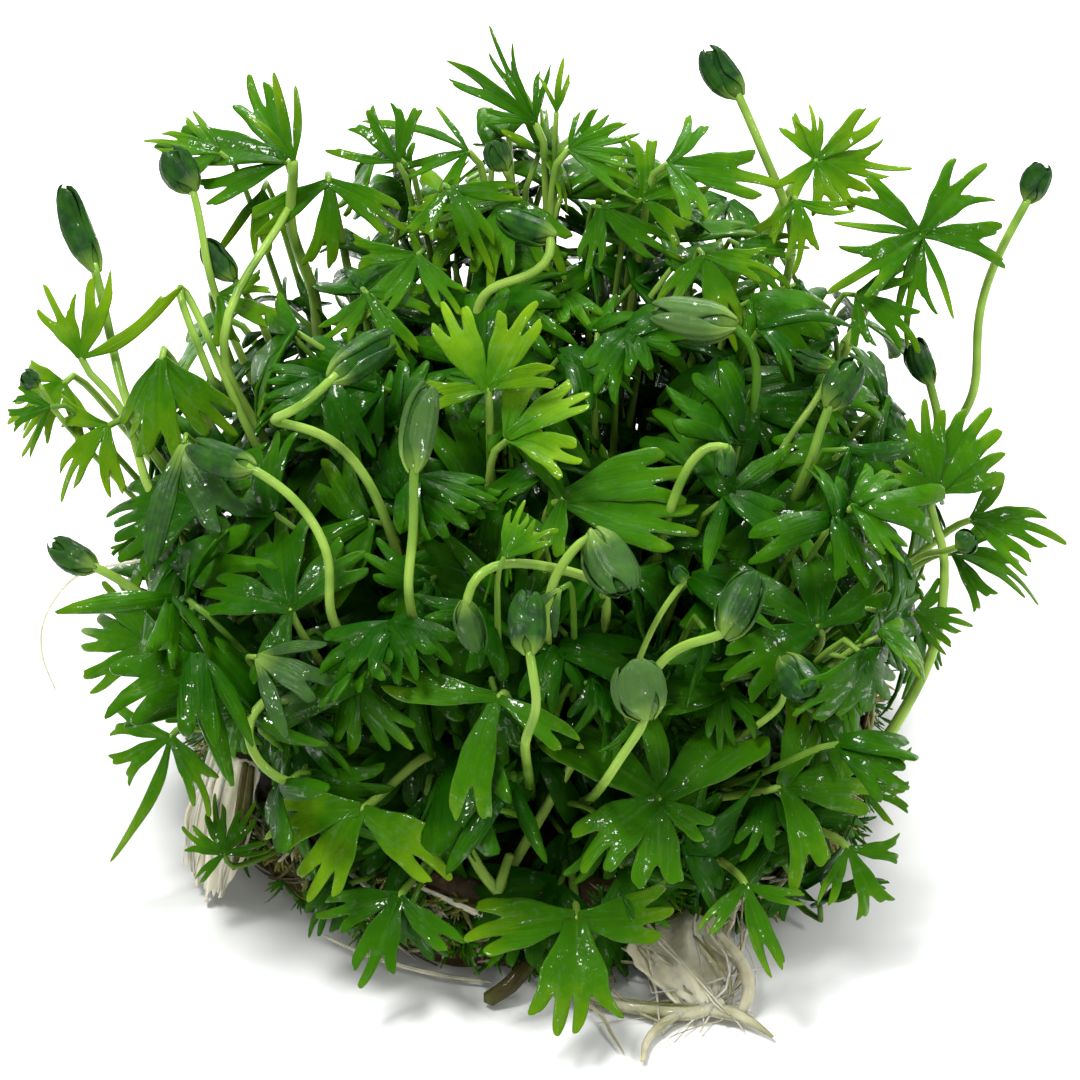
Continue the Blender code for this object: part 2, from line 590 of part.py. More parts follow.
def main():
    for obj in list(bpy.data.objects):
        bpy.data.objects.remove(obj, do_unlink=True)
    leaf_green = make_material("leaf", (0.09, 0.27, 0.03), 0.32)
    young_green = make_material("young_leaf", (0.06, 0.17, 0.04), 0.3)
    inner_green = make_material("inner_leaves", (0.04, 0.14, 0.02), 0.5)
    root_cream = make_material("roots", (0.62, 0.58, 0.4), 0.55)
    pad_brown = make_material("root_pad", (0.3, 0.27, 0.14), 0.7)
    dead_brown = make_material("dead_stalk", (0.2, 0.13, 0.07), 0.7)

    pad = root_pad(pad_brown)
    tangle = leaf_tangle(inner_green)
    root_tufts(root_cream, dead_brown)
    bpy.context.view_layer.update()
    placed = []
    graph = bpy.context.evaluated_depsgraph_get()
    for obj in list(bpy.data.objects):
        if not obj.hide_render:
            mesh = obj.evaluated_get(graph).to_mesh()
            placed.append(
                BVHTree.FromPolygons([v.co / MM for v in mesh.vertices], [tuple(p.vertices) for p in mesh.polygons])
            )
    for young in YOUNG_LEAVES:
        path = [seen_point(*spot) for spot in young.path]
        shape = (path, seen_point(*young.tip), young.width)
        place(young.name, partial(young_mesh, *shape), placed, young_green)
    for row in LEAVES:
        hub = seen_point(row.seen, row.height)
        via = [seen_point(*spot) for spot in row.via]
        shape = (hub, blade_axes(row.turn, row.lean), row.lobes, row.cup, row.droop, via)
        place(row.name, partial(leaf_mesh, *shape), placed, leaf_green)
    for name, bearing, out, height, tilt, length in BACK_LEAVES:
        a = math.radians(bearing)
        hub = Vector((math.cos(a) * out, math.sin(a) * out, height))
        lobes = [(angle, share * length, fingers) for angle, share, fingers in BACK_LOBES]
        shape = (hub, rear_axes(bearing, tilt), lobes, 0.15, 0.35, [])
        place(name, partial(leaf_mesh, *shape), placed, leaf_green)


main()
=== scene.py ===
"""River buttercup clump: the looks of a washed clump of young water plants on its pad of roots.

Lengths are in millimetres until make_piece turns them into metres. The pad's middle is at the
origin, +Z is up, and -Y is the side that the clump is looked at from.
"""

import math
from collections import namedtuple

import bmesh
import bpy
import numpy as np
from bpy.props import FloatProperty, FloatVectorProperty, IntProperty, PointerProperty
from mathutils import Matrix, Vector
from mathutils.bvhtree import BVHTree


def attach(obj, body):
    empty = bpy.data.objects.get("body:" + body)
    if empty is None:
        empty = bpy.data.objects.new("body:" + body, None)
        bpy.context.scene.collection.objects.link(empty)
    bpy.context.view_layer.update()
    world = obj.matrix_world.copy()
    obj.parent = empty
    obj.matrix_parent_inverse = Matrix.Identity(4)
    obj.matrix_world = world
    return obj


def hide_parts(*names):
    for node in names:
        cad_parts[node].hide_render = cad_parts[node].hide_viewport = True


bl_info = {
    "name": "River buttercup clump",
    "version": (1, 0, 0),
    "blender": (4, 5, 0),
    "location": "View3D > Sidebar > River buttercup",
    "description": "Models a washed clump of river buttercup on its pad of roots",
    "category": "Add Mesh",
}

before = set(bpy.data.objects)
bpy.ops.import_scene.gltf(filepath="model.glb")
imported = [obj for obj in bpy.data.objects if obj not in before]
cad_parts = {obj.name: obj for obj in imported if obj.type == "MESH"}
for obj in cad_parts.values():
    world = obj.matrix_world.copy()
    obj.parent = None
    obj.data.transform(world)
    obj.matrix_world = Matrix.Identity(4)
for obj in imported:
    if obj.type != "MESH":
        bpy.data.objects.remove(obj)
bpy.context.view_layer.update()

MM = 0.001

# The clump as photographed: camera tilt, millimetres to a pixel, and the pixel of the pad's middle
VIEW_TILT = math.radians(38)
PIXEL = 0.087
MIDDLE_PIXEL = (540, 768)
PHOTO_SIDE = 1080
CAMERA_DISTANCE = 0.9
RIGHT = Vector((1, 0, 0))
UP = Vector((0, math.sin(VIEW_TILT), math.cos(VIEW_TILT)))
TOWARD = Vector((0, -math.cos(VIEW_TILT), math.sin(VIEW_TILT)))

# The root pad and the tangle of inner leaves, as in the frame
PAD_TOP_RADIUS = 29.5
PAD_HEIGHT = 9.0
TANGLE_RADIUS = 25.5
TANGLE_HEIGHT = 28.0
TANGLE_BOXINESS = 0.75
TANGLE_RISE = 0.011

HUB_RADIUS = 0.9
STALK_RADIUS = 0.46

# seen: pixel of the point where stalk and blade meet. height: millimetres above the table.
# turn: degrees of the middle lobe in the picture, anticlockwise from the right.
# lean: how far the blade faces right and up, 0 and 0 being square to the camera.
# lobes: (degrees from the middle lobe, length, finger count) of each lobe.
# cup and droop: how the blade rises from its middle and how its ends hang.
# via: pixels and heights that the stalk passes on its way down.
Leaf = namedtuple("Leaf", "name seen height turn lean lobes cup droop via")

# path: (pixel, height) from the lowest visible point of the stalk to its neck.
# tip: pixel and height of the folded blade's end. width: of the folded blade, in millimetres.
Young = namedtuple("Young", "name path tip width")


def leaf(name, seen, height, turn, lean, lobes, cup=0.15, droop=0.35, via=()):
    return Leaf(name, seen, height, turn, lean, lobes, cup, droop, via)


LEAVES = [
    leaf("leaf_front_low", (575, 905), 10.4, -92, (0.0, 0.25),
         [(-84, 9.6, 3), (0, 10.4, 4), (86, 8.6, 3)], 0.1, 0.1),
    leaf("leaf_front_large", (655, 790), 20.4, -92, (0.1, 0.35),
         [(-115, 9.5, 2), (-55, 9.0, 3), (0, 8.6, 2), (52, 5.6, 2), (134, 12.0, 2)], 0.15, 0.2),
    leaf("leaf_front_bright", (368, 800), 18, -122, (-0.25, 0.2),
         [(-62, 9.2, 3), (0, 9.2, 3), (88, 9.6, 3)], 0.15, 0.3, [((436, 745), 20)]),
    leaf("leaf_front_middle", (500, 690), 31, -115, (-0.1, 0.4),
         [(-70, 10.2, 2), (0, 11.0, 2), (78, 8.0, 2)]),
    leaf("leaf_top_wide", (562, 501), 39.9, -8, (0.1, 0.6),
         [(-95, 7.0, 2), (-20, 12.0, 3), (28, 11.5, 3), (125, 8.0, 2)], 0.2, 0.25),
    leaf("leaf_top_bright", (490, 395), 48, 95, (0.0, 0.2),
         [(-72, 6.5, 2), (-30, 8.6, 3), (26, 9.0, 3), (92, 6.0, 2)], 0.1, 0.15),
    leaf("leaf_top_cupped", (508, 444), 43.8, 8, (0.1, 0.9),
         [(-42, 7.5, 3), (12, 8.2, 3), (70, 6.5, 2)], 0.55, 0.2),
    leaf("leaf_left_high", (92, 362), 41, 70, (-0.15, 0.1),
         [(-56, 9.8, 1), (0, 9.6, 3), (50, 8.0, 2)], 0.1, 0.15),
    leaf("leaf_left_hanging", (73, 386), 37, -112, (-0.45, 0.25),
         [(-95, 6.0, 2), (-48, 7.0, 3), (0, 7.5, 3), (50, 7.0, 2)], 0.1, 0.35),
    leaf("leaf_left_veil", (172, 364), 42.8, -82, (-0.25, 0.1),
         [(-52, 9.0, 2), (0, 10.5, 3), (48, 9.0, 2)], 0.1, 0.3),
    leaf("leaf_left_fan", (119, 428), 36.6, -138, (-0.3, 0.2),
         [(-52, 6.5, 2), (0, 7.6, 3), (50, 7.0, 2)]),
    leaf("leaf_back_left_flat", (292, 168), 52, 172, (-0.15, 0.75),
         [(-50, 9.5, 3), (0, 12.0, 3), (42, 9.0, 2)], 0.1, 0.15),
    leaf("leaf_back_left_upright", (300, 172), 55, 98, (0.0, 0.0),
         [(-24, 5.4, 1), (0, 7.8, 1), (22, 4.6, 1)], 0.1, 0.05,
         [((288, 200), 49), ((312, 250), 44), ((324, 310), 38)]),
    leaf("leaf_back_left_droop", (333, 189), 51.1, -85, (0.0, 0.2),
         [(-62, 8.5, 2), (0, 8.0, 2), (58, 8.0, 3)], 0.15, 0.4),
    leaf("leaf_back_pointed", (536, 132), 55, 128, (0.0, 0.35),
         [(-42, 9.5, 2), (0, 12.5, 3), (34, 11.0, 2)], 0.1, 0.1),
    leaf("leaf_back_left_long", (470, 158), 51.4, 158, (-0.1, 0.55),
         [(-46, 7.5, 2), (0, 10.0, 3), (50, 8.0, 3)], 0.15, 0.25),
    leaf("leaf_back_right_long", (568, 158), 53.6, 22, (0.1, 0.55),
         [(-52, 8.0, 2), (0, 9.6, 3), (48, 8.5, 3)], 0.15, 0.25),
    leaf("leaf_back_middle", (509, 205), 48.6, -110, (0.0, 0.5),
         [(-60, 8.5, 3), (0, 9.0, 3), (60, 8.5, 3)], 0.15, 0.3),
    leaf("leaf_back_right_flat", (664, 173), 54.2, -8, (0.1, 0.7),
         [(-58, 7.5, 2), (0, 9.8, 3), (50, 6.5, 2)], 0.1, 0.25),
    leaf("leaf_back_right_star", (812, 166), 50.4, 22, (0.15, 0.3),
         [(-112, 8.0, 3), (-56, 8.0, 3), (0, 9.0, 3), (52, 7.5, 2), (102, 7.0, 2)], 0.15, 0.2,
         [((780, 210), 45.4), ((757, 255), 41.4)]),
    leaf("leaf_right_star", (913, 240), 46.6, -98, (0.3, 0.25),
         [(-68, 8.8, 3), (-12, 9.0, 3), (40, 6.0, 2), (88, 9.0, 2), (134, 9.6, 3)], 0.15, 0.3,
         [((851, 330), 40.6)]),
    leaf("leaf_right_fan", (925, 492), 33, 62, (0.35, 0.1),
         [(-46, 8.0, 2), (0, 9.5, 3), (44, 8.0, 3), (98, 5.5, 2)], 0.1, 0.1),
    leaf("leaf_right_long", (962, 520), 28, 0, (0.25, 0.45),
         [(-40, 7.6, 2), (0, 8.8, 3), (46, 6.0, 2)], 0.1, 0.15),
    leaf("leaf_right_low", (946, 552), 23, -10, (0.3, 0.3),
         [(-50, 7.0, 2), (0, 8.8, 3), (44, 6.0, 2)], 0.1, 0.25),
    leaf("leaf_left_low", (180, 732), 17, -118, (-0.35, 0.15),
         [(-78, 7.8, 2), (-34, 7.5, 2), (8, 11.0, 1), (66, 7.8, 3)], 0.1, 0.25),
    leaf("leaf_left_side", (159, 640), 23, 172, (-0.5, 0.3),
         [(-52, 7.5, 3), (0, 8.5, 3), (52, 7.5, 2)]),
    leaf("leaf_left_dark", (207, 510), 32.6, 168, (-0.4, 0.6),
         [(-60, 8.5, 3), (0, 9.5, 3), (58, 8.5, 3)]),
    leaf("leaf_middle_dark", (300, 606), 33, 104, (-0.3, 0.45),
         [(-64, 8.5, 3), (0, 10.5, 3), (60, 9.0, 3), (150, 7.5, 2)]),
    leaf("leaf_right_dark", (806, 622), 31, 150, (0.3, 0.5),
         [(-130, 9.0, 2), (-62, 9.0, 3), (0, 10.5, 3), (64, 9.5, 3)]),
    leaf("leaf_right_front", (772, 778), 19, 2, (0.35, 0.25),
         [(-62, 9.0, 2), (0, 10.0, 3), (62, 8.0, 3)]),
    leaf("leaf_right_edge", (838, 838), 13, -66, (0.45, 0.1),
         [(-58, 6.0, 2), (0, 8.0, 2), (56, 6.5, 2)]),
    leaf("leaf_base_right", (738, 872), 13, -76, (0.2, 0.2),
         [(-58, 6.6, 2), (0, 9.2, 2), (54, 6.0, 2)], 0.1, 0.15),
    leaf("leaf_base_left", (404, 884), 11, -112, (-0.15, 0.2),
         [(-60, 7.2, 3), (0, 8.4, 3), (62, 7.4, 2)], 0.1, 0.15),
]

YOUNG_LEAVES = [
    Young("young_leaf_far_left", [((152, 440), 36), ((122, 350), 41), ((107, 280), 45)],
          ((71, 198), 50), 2.7),
    Young("young_leaf_back_right", [((790, 260), 42), ((775, 195), 48), ((755, 150), 52), ((738, 106), 55)],
          ((702, 58), 58), 3.2),
    Young("young_leaf_far_right", [((955, 425), 27), ((974, 385), 31), ((972, 325), 36), ((990, 262), 42),
          ((1020, 208), 46)], ((1036, 168), 49), 2.8),
    Young("young_leaf_back_middle", [((478, 306), 47), ((525, 290), 49), ((556, 268), 51), ((556, 246), 52)],
          ((500, 226), 53), 2.8),
    Young("young_leaf_grey", [((744, 420), 41), ((752, 365), 45), ((732, 332), 48)],
          ((648, 320), 48), 4.2),
    Young("young_leaf_hairpin", [((392, 520), 38), ((368, 470), 42), ((330, 434), 46), ((270, 426), 47),
          ((312, 418), 50), ((337, 388), 51)], ((398, 342), 51), 3.0),
    Young("young_leaf_long_stalk", [((338, 612), 33), ((341, 560), 38), ((312, 506), 42), ((268, 472), 44)],
          ((205, 452), 43), 3.0),
    Young("young_leaf_silver", [((414, 596), 37), ((420, 535), 42), ((419, 478), 47)],
          ((432, 392), 52), 3.0),
    Young("young_leaf_hook", [((604, 590), 36), ((560, 568), 40), ((505, 560), 42), ((474, 572), 42),
          ((468, 596), 40)], ((482, 645), 36), 2.7),
    Young("young_leaf_broad", [((549, 589), 38.8), ((571, 549), 42.8), ((589, 529), 43.8)],
          ((623, 591), 40.8), 4.4),
    Young("young_leaf_dark", [((526, 728), 31), ((538, 705), 34), ((536, 680), 37), ((530, 650), 39)],
          ((528, 590), 42), 3.4),
    Young("young_leaf_round", [((606, 764), 27), ((622, 738), 30), ((642, 712), 33)],
          ((628, 654), 37), 4.8),
    Young("young_leaf_bent", [((630, 700), 29), ((655, 655), 34), ((684, 636), 37), ((714, 634), 38)],
          ((744, 572), 41), 3.6),
    Young("young_leaf_small", [((662, 520), 38), ((680, 472), 42), ((700, 444), 44), ((720, 448), 44)],
          ((716, 480), 42), 1.9),
    Young("young_leaf_right_dark", [((930, 440), 29), ((930, 412), 32), ((926, 388), 34)],
          ((904, 342), 38), 2.6),
    Young("young_leaf_right_upper", [((800, 470), 38), ((808, 440), 40), ((818, 414), 42)],
          ((846, 366), 45), 3.2),
    Young("young_leaf_left_dark", [((160, 600), 26), ((135, 580), 28), ((110, 568), 29)],
          ((64, 544), 30), 2.8),
    Young("young_leaf_low_hook", [((290, 770), 22), ((262, 742), 24), ((258, 712), 26), ((277, 692), 27)],
          ((326, 668), 29), 3.0),
]

# Ways of some stalks as they are seen, from the blade down: pixels and heights
ROUTES = {
    "leaf_back_left_flat": [((291, 225), 49.5), ((249, 286), 46), ((228, 340), 43), ((234, 385), 39), ((266, 432), 34)],
    "leaf_back_left_upright": [((295, 200), 51), ((293, 230), 48), ((305, 264), 44), ((321, 304), 39), ((322, 350), 34)],
    "leaf_right_fan": [((936, 545), 28), ((928, 640), 21), ((900, 700), 16), ((858, 758), 12)],
    "leaf_left_high": [((112, 385), 39), ((142, 430), 36), ((164, 505), 31)],
}
# Stalks that are thicker than the others, in millimetres of radius
THICK_STALKS = {
    "leaf_back_left_upright": 0.62, "leaf_back_right_star": 0.6, "leaf_front_bright": 0.52,
    "leaf_right_fan": 0.5, "leaf_back_left_flat": 0.46,
}

# Folded leaves and stalks that only the visible clump has, with the thickness of the stalk
SMALL_YOUNG = [
    (Young("curl_middle", [((640, 640), 34), ((662, 598), 37), ((679, 580), 39)], ((668, 566), 40), 1.5), 0.3),
    (Young("bud_right_oval", [((770, 460), 37), ((812, 400), 41), ((826, 372), 43)], ((784, 362), 44), 1.9), 0.34),
    (Young("bud_top_left", [((222, 300), 44), ((212, 250), 48), ((203, 200), 51)], ((176, 158), 54), 3.4), 0.4),
    (Young("bud_top_middle", [((520, 220), 46), ((514, 195), 50), ((506, 180), 52)], ((494, 148), 54), 2.6), 0.34),
    (Young("bud_far_left", [((70, 420), 36), ((58, 400), 38), ((52, 388), 39)], ((34, 378), 40), 1.8), 0.3),
    (Young("bud_right_low", [((905, 560), 26), ((930, 552), 29), ((944, 548), 31)], ((962, 536), 32), 2.4), 0.34),
    (Young("hairpin", [((262, 448), 34), ((236, 390), 39), ((206, 320), 43), ((183, 276), 46), ((181, 284), 46),
                       ((198, 330), 43), ((218, 380), 40)], ((236, 418), 37), 1.8), 0.4),
    (Young("bud_top_left_low", [((268, 330), 40), ((254, 300), 43), ((242, 286), 45)], ((210, 250), 47), 2.6), 0.36),
    (Young("bud_middle_right", [((770, 700), 28), ((775, 672), 31), ((772, 650), 33)], ((800, 690), 32), 3.6), 0.34),
]

# Small leaves that only the visible clump has, as in LEAVES
SMALL_LEAVES = [
    leaf("frond_left_low", (232, 846), 8, 108, (-0.3, 0.1),
         [(-104, 4.4, 2), (-52, 5.2, 3), (0, 5.4, 3), (52, 5.0, 3), (112, 4.0, 2)], 0.1, 0.2),
    leaf("frond_top", (556, 122), 56, 86, (0.0, 0.1), [(-18, 3.4, 1), (2, 4.2, 1), (20, 3.0, 1)], 0.05, 0.1),
    leaf("frond_far_left", (62, 410), 38, 196, (-0.3, 0.1), [(-46, 4.5, 2), (0, 5.0, 2), (46, 4.0, 1)], 0.1, 0.2),
    leaf("frond_top_left", (400, 170), 52, 128, (-0.1, 0.2), [(-54, 6.5, 2), (0, 7.0, 2), (50, 6.0, 1)], 0.1, 0.1),
    leaf("frond_right_top", (735, 250), 46, -50, (0.2, 0.3),
         [(-58, 6.5, 2), (0, 7.5, 3), (54, 6.5, 3)], 0.1, 0.2),
    leaf("frond_left_small", (410, 230), 47, -20, (0.0, 0.3), [(-50, 5.0, 1), (0, 5.6, 1), (60, 4.5, 2)], 0.1, 0.2),
    leaf("frond_feather", (506, 556), 43, 60, (0.0, 0.3), [(-28, 5.5, 3), (14, 5.5, 3)], 0.1, 0.1),
    leaf("frond_right_side", (905, 612), 24, -8, (0.4, 0.2), [(-48, 5.0, 2), (0, 6.0, 3), (44, 5.0, 2)], 0.1, 0.2),
    leaf("frond_silver_left", (196, 446), 41, -94, (-0.1, 0.2), [(-14, 10.5, 1), (24, 9.5, 2)], 0.3, 0.3),
    leaf("frond_silver_low", (268, 652), 31, -20, (-0.1, 0.3), [(-50, 7.0, 1), (-8, 7.5, 2), (34, 5.5, 1)], 0.3, 0.2),
    leaf("frond_silver_middle", (560, 586), 41, -140, (0.0, 0.2), [(-10, 5.0, 1), (30, 4.0, 1)], 0.3, 0.2),
    leaf("frond_top_high", (452, 196), 51, -60, (0.0, 0.3), [(-64, 6.5, 2), (0, 8.0, 3), (58, 7.0, 2)], 0.1, 0.25),
    leaf("frond_top_back", (640, 206), 51, 20, (0.1, 0.3), [(-60, 6.5, 2), (0, 8.0, 3), (58, 7.0, 2)], 0.1, 0.25),
    leaf("frond_inner_fan", (700, 262), 48, -70, (0.1, 0.3), [(-60, 7.0, 2), (0, 8.5, 3), (58, 7.0, 3)], 0.1, 0.25),
    leaf("frond_inner_low", (372, 300), 46, -60, (0.0, 0.3), [(-60, 6.5, 3), (0, 8.0, 2), (58, 7.0, 2)], 0.1, 0.25),
    leaf("frond_top_dark", (226, 160), 53, 176, (-0.1, 0.5), [(-44, 5.5, 2), (-4, 7.0, 3), (40, 5.5, 2)], 0.1, 0.2),
    leaf("frond_top_hanging", (268, 196), 49, -104, (0.0, 0.1), [(-24, 6.0, 1), (8, 6.6, 2), (40, 5.0, 1)], 0.1, 0.3),
    leaf("frond_top_right", (792, 207), 49, -78, (0.1, 0.2), [(-56, 5.6, 2), (0, 6.4, 3), (54, 5.6, 2)], 0.1, 0.3),
    leaf("frond_top_inner", (600, 215), 50, -40, (0.0, 0.3), [(-60, 6.5, 3), (0, 8.0, 3), (56, 6.5, 2)], 0.1, 0.2),
    leaf("frond_top_low", (420, 262), 48, -120, (0.0, 0.3), [(-58, 7.0, 2), (0, 8.0, 3), (58, 7.0, 3)], 0.1, 0.2),
    leaf("frond_right_inner", (850, 300), 44, -30, (0.2, 0.3), [(-58, 6.0, 2), (0, 7.5, 3), (58, 6.5, 2)], 0.1, 0.2),
    leaf("frond_left_upper", (226, 300), 44, -30, (0.0, 0.3), [(-50, 6.0, 2), (0, 7.0, 2), (50, 5.5, 2)], 0.1, 0.2),
    leaf("frond_right_low", (850, 780), 13, -10, (0.4, 0.1), [(-44, 4.4, 1), (0, 6.2, 2), (40, 6.6, 2)], 0.1, 0.1),
]

# Cut stubs of stalks near the base: pixels and heights
STUBS = [
    [((470, 838), 12), ((484, 862), 10.8), ((499, 880), 9.5)],
    [((511, 845), 12), ((503, 868), 10.5), ((499, 880), 9.5)],
    [((590, 724), 21), ((546, 800), 14), ((501, 877), 9.6)],
]

# How much painted silvery sheen some of the folded leaves get
SILVERY = {"young_leaf_grey": 0.82, "young_leaf_round": 0.62, "young_leaf_broad": 0.4, "young_leaf_silver": 0.6,
           "young_leaf_hook": 0.4}

# How pale some stalks are, 0.9 being usual
STALK_TINTS = {"leaf_back_left_upright": 1.5, "leaf_back_left_flat": 1.4, "leaf_back_right_star": 1.4,
               "leaf_right_fan": 1.5, "leaf_front_bright": 1.4,
               "young_leaf_grey": 0.2, "young_leaf_right_upper": 0.5, "young_leaf_long_stalk": 1.6,
               "young_leaf_far_right": 1.6, "young_leaf_hook": 1.3, "bud_top_left": 1.6}

# Leaves of the small ones that get the folded leaves' painted silvery sheen over their green
SILVERY_LEAVES = ("frond_silver_left", "frond_silver_low", "frond_silver_middle")

# Leaves that stand behind, given by compass degrees, distance out, height, tilt and length
BACK_LEAVES = [
    ("leaf_rear_right", 34, 34, 34, 42, 9.5),
    ("leaf_rear_middle", 88, 33, 27, 56, 9.0),
    ("leaf_rear_left", 142, 34, 33, 46, 9.5),
]
BACK_LOBES = ((-66, 0.88, 3), (0, 1.0, 3), (66, 0.88, 3))

# How bright each leaf is, from 0 for an old dark one to 1 for a young yellow-green one: partly the leaf's age, and
# partly painted light and shade, paler where a leaf is lit from behind and darker where it sits in shade
BRIGHTNESS = {
    "leaf_front_low": 0.5, "leaf_front_large": 0.34, "leaf_front_bright": 0.66, "leaf_front_middle": 0.42,
    "leaf_top_wide": 0.4, "leaf_top_bright": 0.72, "leaf_top_cupped": 0.7, "leaf_left_high": 0.82,
    "leaf_left_hanging": 0.85, "leaf_left_veil": 0.55, "leaf_left_fan": 0.75, "leaf_back_left_flat": 0.35,
    "leaf_back_left_upright": 0.6, "leaf_back_pointed": 0.4, "leaf_back_right_star": 0.75,
    "leaf_right_star": 0.52, "leaf_right_fan": 0.5, "leaf_left_dark": 0.15, "leaf_middle_dark": 0.15,
    "leaf_right_dark": 0.2, "leaf_left_low": 0.55, "leaf_base_left": 0.3,
}
USUAL_BRIGHTNESS = 0.5

# Lobes of leaves that are more finely cut than their solids: (degrees from the middle lobe, length, fingers)
FINE_LOBES = {
    "leaf_back_right_star": [(109, 6.0, 2), (70, 5.4, 3), (10, 7.8, 2), (-27, 8.8, 3), (-68, 7.4, 2), (-104, 6.6, 2), (-157, 6.2, 2)],
    "leaf_right_star": [(153, 11.0, 3), (100, 11.0, 2), (30, 7.0, 1), (-2, 10.0, 3), (-46, 11.4, 3), (-84, 7.0, 1), (-124, 9.4, 2)],
    "leaf_back_pointed": [(-6, 10.6, 3), (20, 10.8, 2), (46, 6.0, 2), (-38, 6.4, 2)],
    "leaf_back_left_long": [(-10, 9.4, 1), (-34, 6.0, 1), (46, 8.4, 2), (86, 6.4, 2)],
    "leaf_back_right_long": [(22, 6.0, 2), (-4, 7.4, 2), (56, 4.2, 1), (-66, 8.6, 2), (-36, 7.4, 2)],
    "leaf_left_high": [(46, 7.6, 3), (-5, 8.9, 2), (-56, 9.4, 1)],
    "leaf_back_left_upright": [(-18, 5.8, 1), (6, 7.0, 1), (26, 5.0, 1)],
    "leaf_front_large": [(-126, 11.5, 2), (-55, 9.0, 3), (0, 8.6, 2), (52, 5.6, 2), (134, 12.0, 2), (180, 8.8, 1)],
    "leaf_left_low": [(-78, 7.8, 2), (-34, 7.5, 2), (20, 9.4, 1), (70, 7.8, 3)],
    "leaf_left_veil": [(-44, 8.0, 2), (-8, 10.0, 2), (30, 9.0, 3)],
}

# How broad the lobes of some leaves are, and those of all the others
BREADTHS = {
    "leaf_front_middle": 0.8, "leaf_front_large": 1.15, "leaf_front_low": 1.05, "leaf_front_bright": 1.05,
    "leaf_back_left_flat": 0.85, "leaf_back_left_upright": 0.75, "leaf_back_left_droop": 0.85,
    "leaf_left_veil": 0.95, "leaf_back_pointed": 0.7, "leaf_left_high": 1.05, "leaf_back_left_long": 0.8,
    "leaf_back_right_star": 1.1, "leaf_right_star": 1.0, "leaf_top_wide": 0.85, "leaf_right_fan": 1.0,
}
USUAL_BREADTH = 0.95

# Leaves that are cut deeper than the broad ones in front
CUT_OF = {
    "leaf_left_high": "deep", "leaf_left_hanging": "slender", "leaf_left_veil": "plain",
    "leaf_left_fan": "slender", "leaf_back_left_flat": "plain", "leaf_back_left_upright": "plain",
    "leaf_back_left_droop": "plain", "leaf_back_pointed": "deep", "leaf_back_left_long": "deep",
    "leaf_back_right_long": "deep", "leaf_back_middle": "plain", "leaf_back_right_flat": "plain",
    "leaf_back_right_star": "deep", "leaf_right_star": "deep", "leaf_right_fan": "plain",
    "leaf_right_long": "slender", "leaf_right_low": "slender", "leaf_left_low": "slender",
    "leaf_left_side": "plain", "leaf_top_bright": "plain", "leaf_front_bright": "plain",
    "leaf_right_edge": "slender", "leaf_base_right": "slender", "leaf_base_left": "plain",
}


class LeafSettings(bpy.types.PropertyGroup):
    """Sizes and colours of the leaves"""

    seed: IntProperty(name="Seed", description="Which clump grows", default=7, min=0)
    inner_count: IntProperty(name="Inner leaves", description="Leaves tried in the tangle", default=820, min=0)
    inner_length: FloatProperty(name="Inner lobe", description="Length of an inner leaf's middle lobe",
                                default=8.8 * MM, unit="LENGTH")
    # Also the colour of painted shade: on leaves and stalks deep in the clump, and in the slits of the folded leaves
    dark: FloatVectorProperty(name="Old leaf", description="Colour of an old leaf", subtype="COLOR",
                              default=(0.006, 0.05, 0.0005), min=0, max=1)
    mid: FloatVectorProperty(name="Leaf", description="Colour of a grown leaf", subtype="COLOR",
                             default=(0.027, 0.114, 0.001), min=0, max=1)
    # Also the colour of painted light on leaves lit from behind
    bright: FloatVectorProperty(name="Fresh leaf", description="Colour of a fresh leaf", subtype="COLOR",
                                default=(0.13, 0.25, 0.004), min=0, max=1)
    margin: FloatVectorProperty(name="Margin", description="Colour of a leaf's pale margin", subtype="COLOR",
                                default=(0.15, 0.27, 0.04), min=0, max=1)
    folded: FloatVectorProperty(name="Folded leaf", description="Colour of a folded young leaf", subtype="COLOR",
                                default=(0.008, 0.035, 0.009), min=0, max=1)
    # The silvery colour is a painted sheen
    silver: FloatVectorProperty(name="Silvery leaf", description="Colour of a silvery folded leaf", subtype="COLOR",
                                default=(0.07, 0.14, 0.035), min=0, max=1)
    stalk: FloatVectorProperty(name="Stalk", description="Colour of the stalks", subtype="COLOR",
                               default=(0.27, 0.43, 0.065), min=0, max=1)


class RootSettings(bpy.types.PropertyGroup):
    """Sizes and colours of the roots"""

    count: IntProperty(name="Roots", description="Roots on the pad's side", default=420, min=0)
    radius: FloatProperty(name="Root radius", description="Radius of a fine root", default=0.2 * MM, unit="LENGTH")
    pale: FloatVectorProperty(name="Fresh root", description="Colour of a fresh root", subtype="COLOR",
                              default=(0.76, 0.71, 0.54), min=0, max=1)
    old: FloatVectorProperty(name="Old root", description="Colour of an old root", subtype="COLOR",
                             default=(0.045, 0.03, 0.012), min=0, max=1)
    mossy: FloatVectorProperty(name="Green root", description="Colour of a root that has greened", subtype="COLOR",
                               default=(0.1, 0.12, 0.02), min=0, max=1)


def deselect():
    if bpy.context.object and bpy.context.object.mode != "OBJECT":
        bpy.ops.object.mode_set(mode="OBJECT")
    bpy.ops.object.select_all(action="DESELECT")


def pick(obj, test):
    """In edit mode, selects the points that pass the test, and what joins them."""
    shape = bmesh.from_edit_mesh(obj.data)
    bpy.ops.mesh.select_all(action="DESELECT")
    for point in shape.verts:
        if test(point.co):
            point.select_set(True)
    shape.select_flush(True)
    bmesh.update_edit_mesh(obj.data)


def apply_modifier(obj, kind, **settings):
    modifier = obj.modifiers.new(kind.lower(), kind)
    for key, value in settings.items():
        setattr(modifier, key, value)
    bpy.ops.object.modifier_apply(modifier=modifier.name)


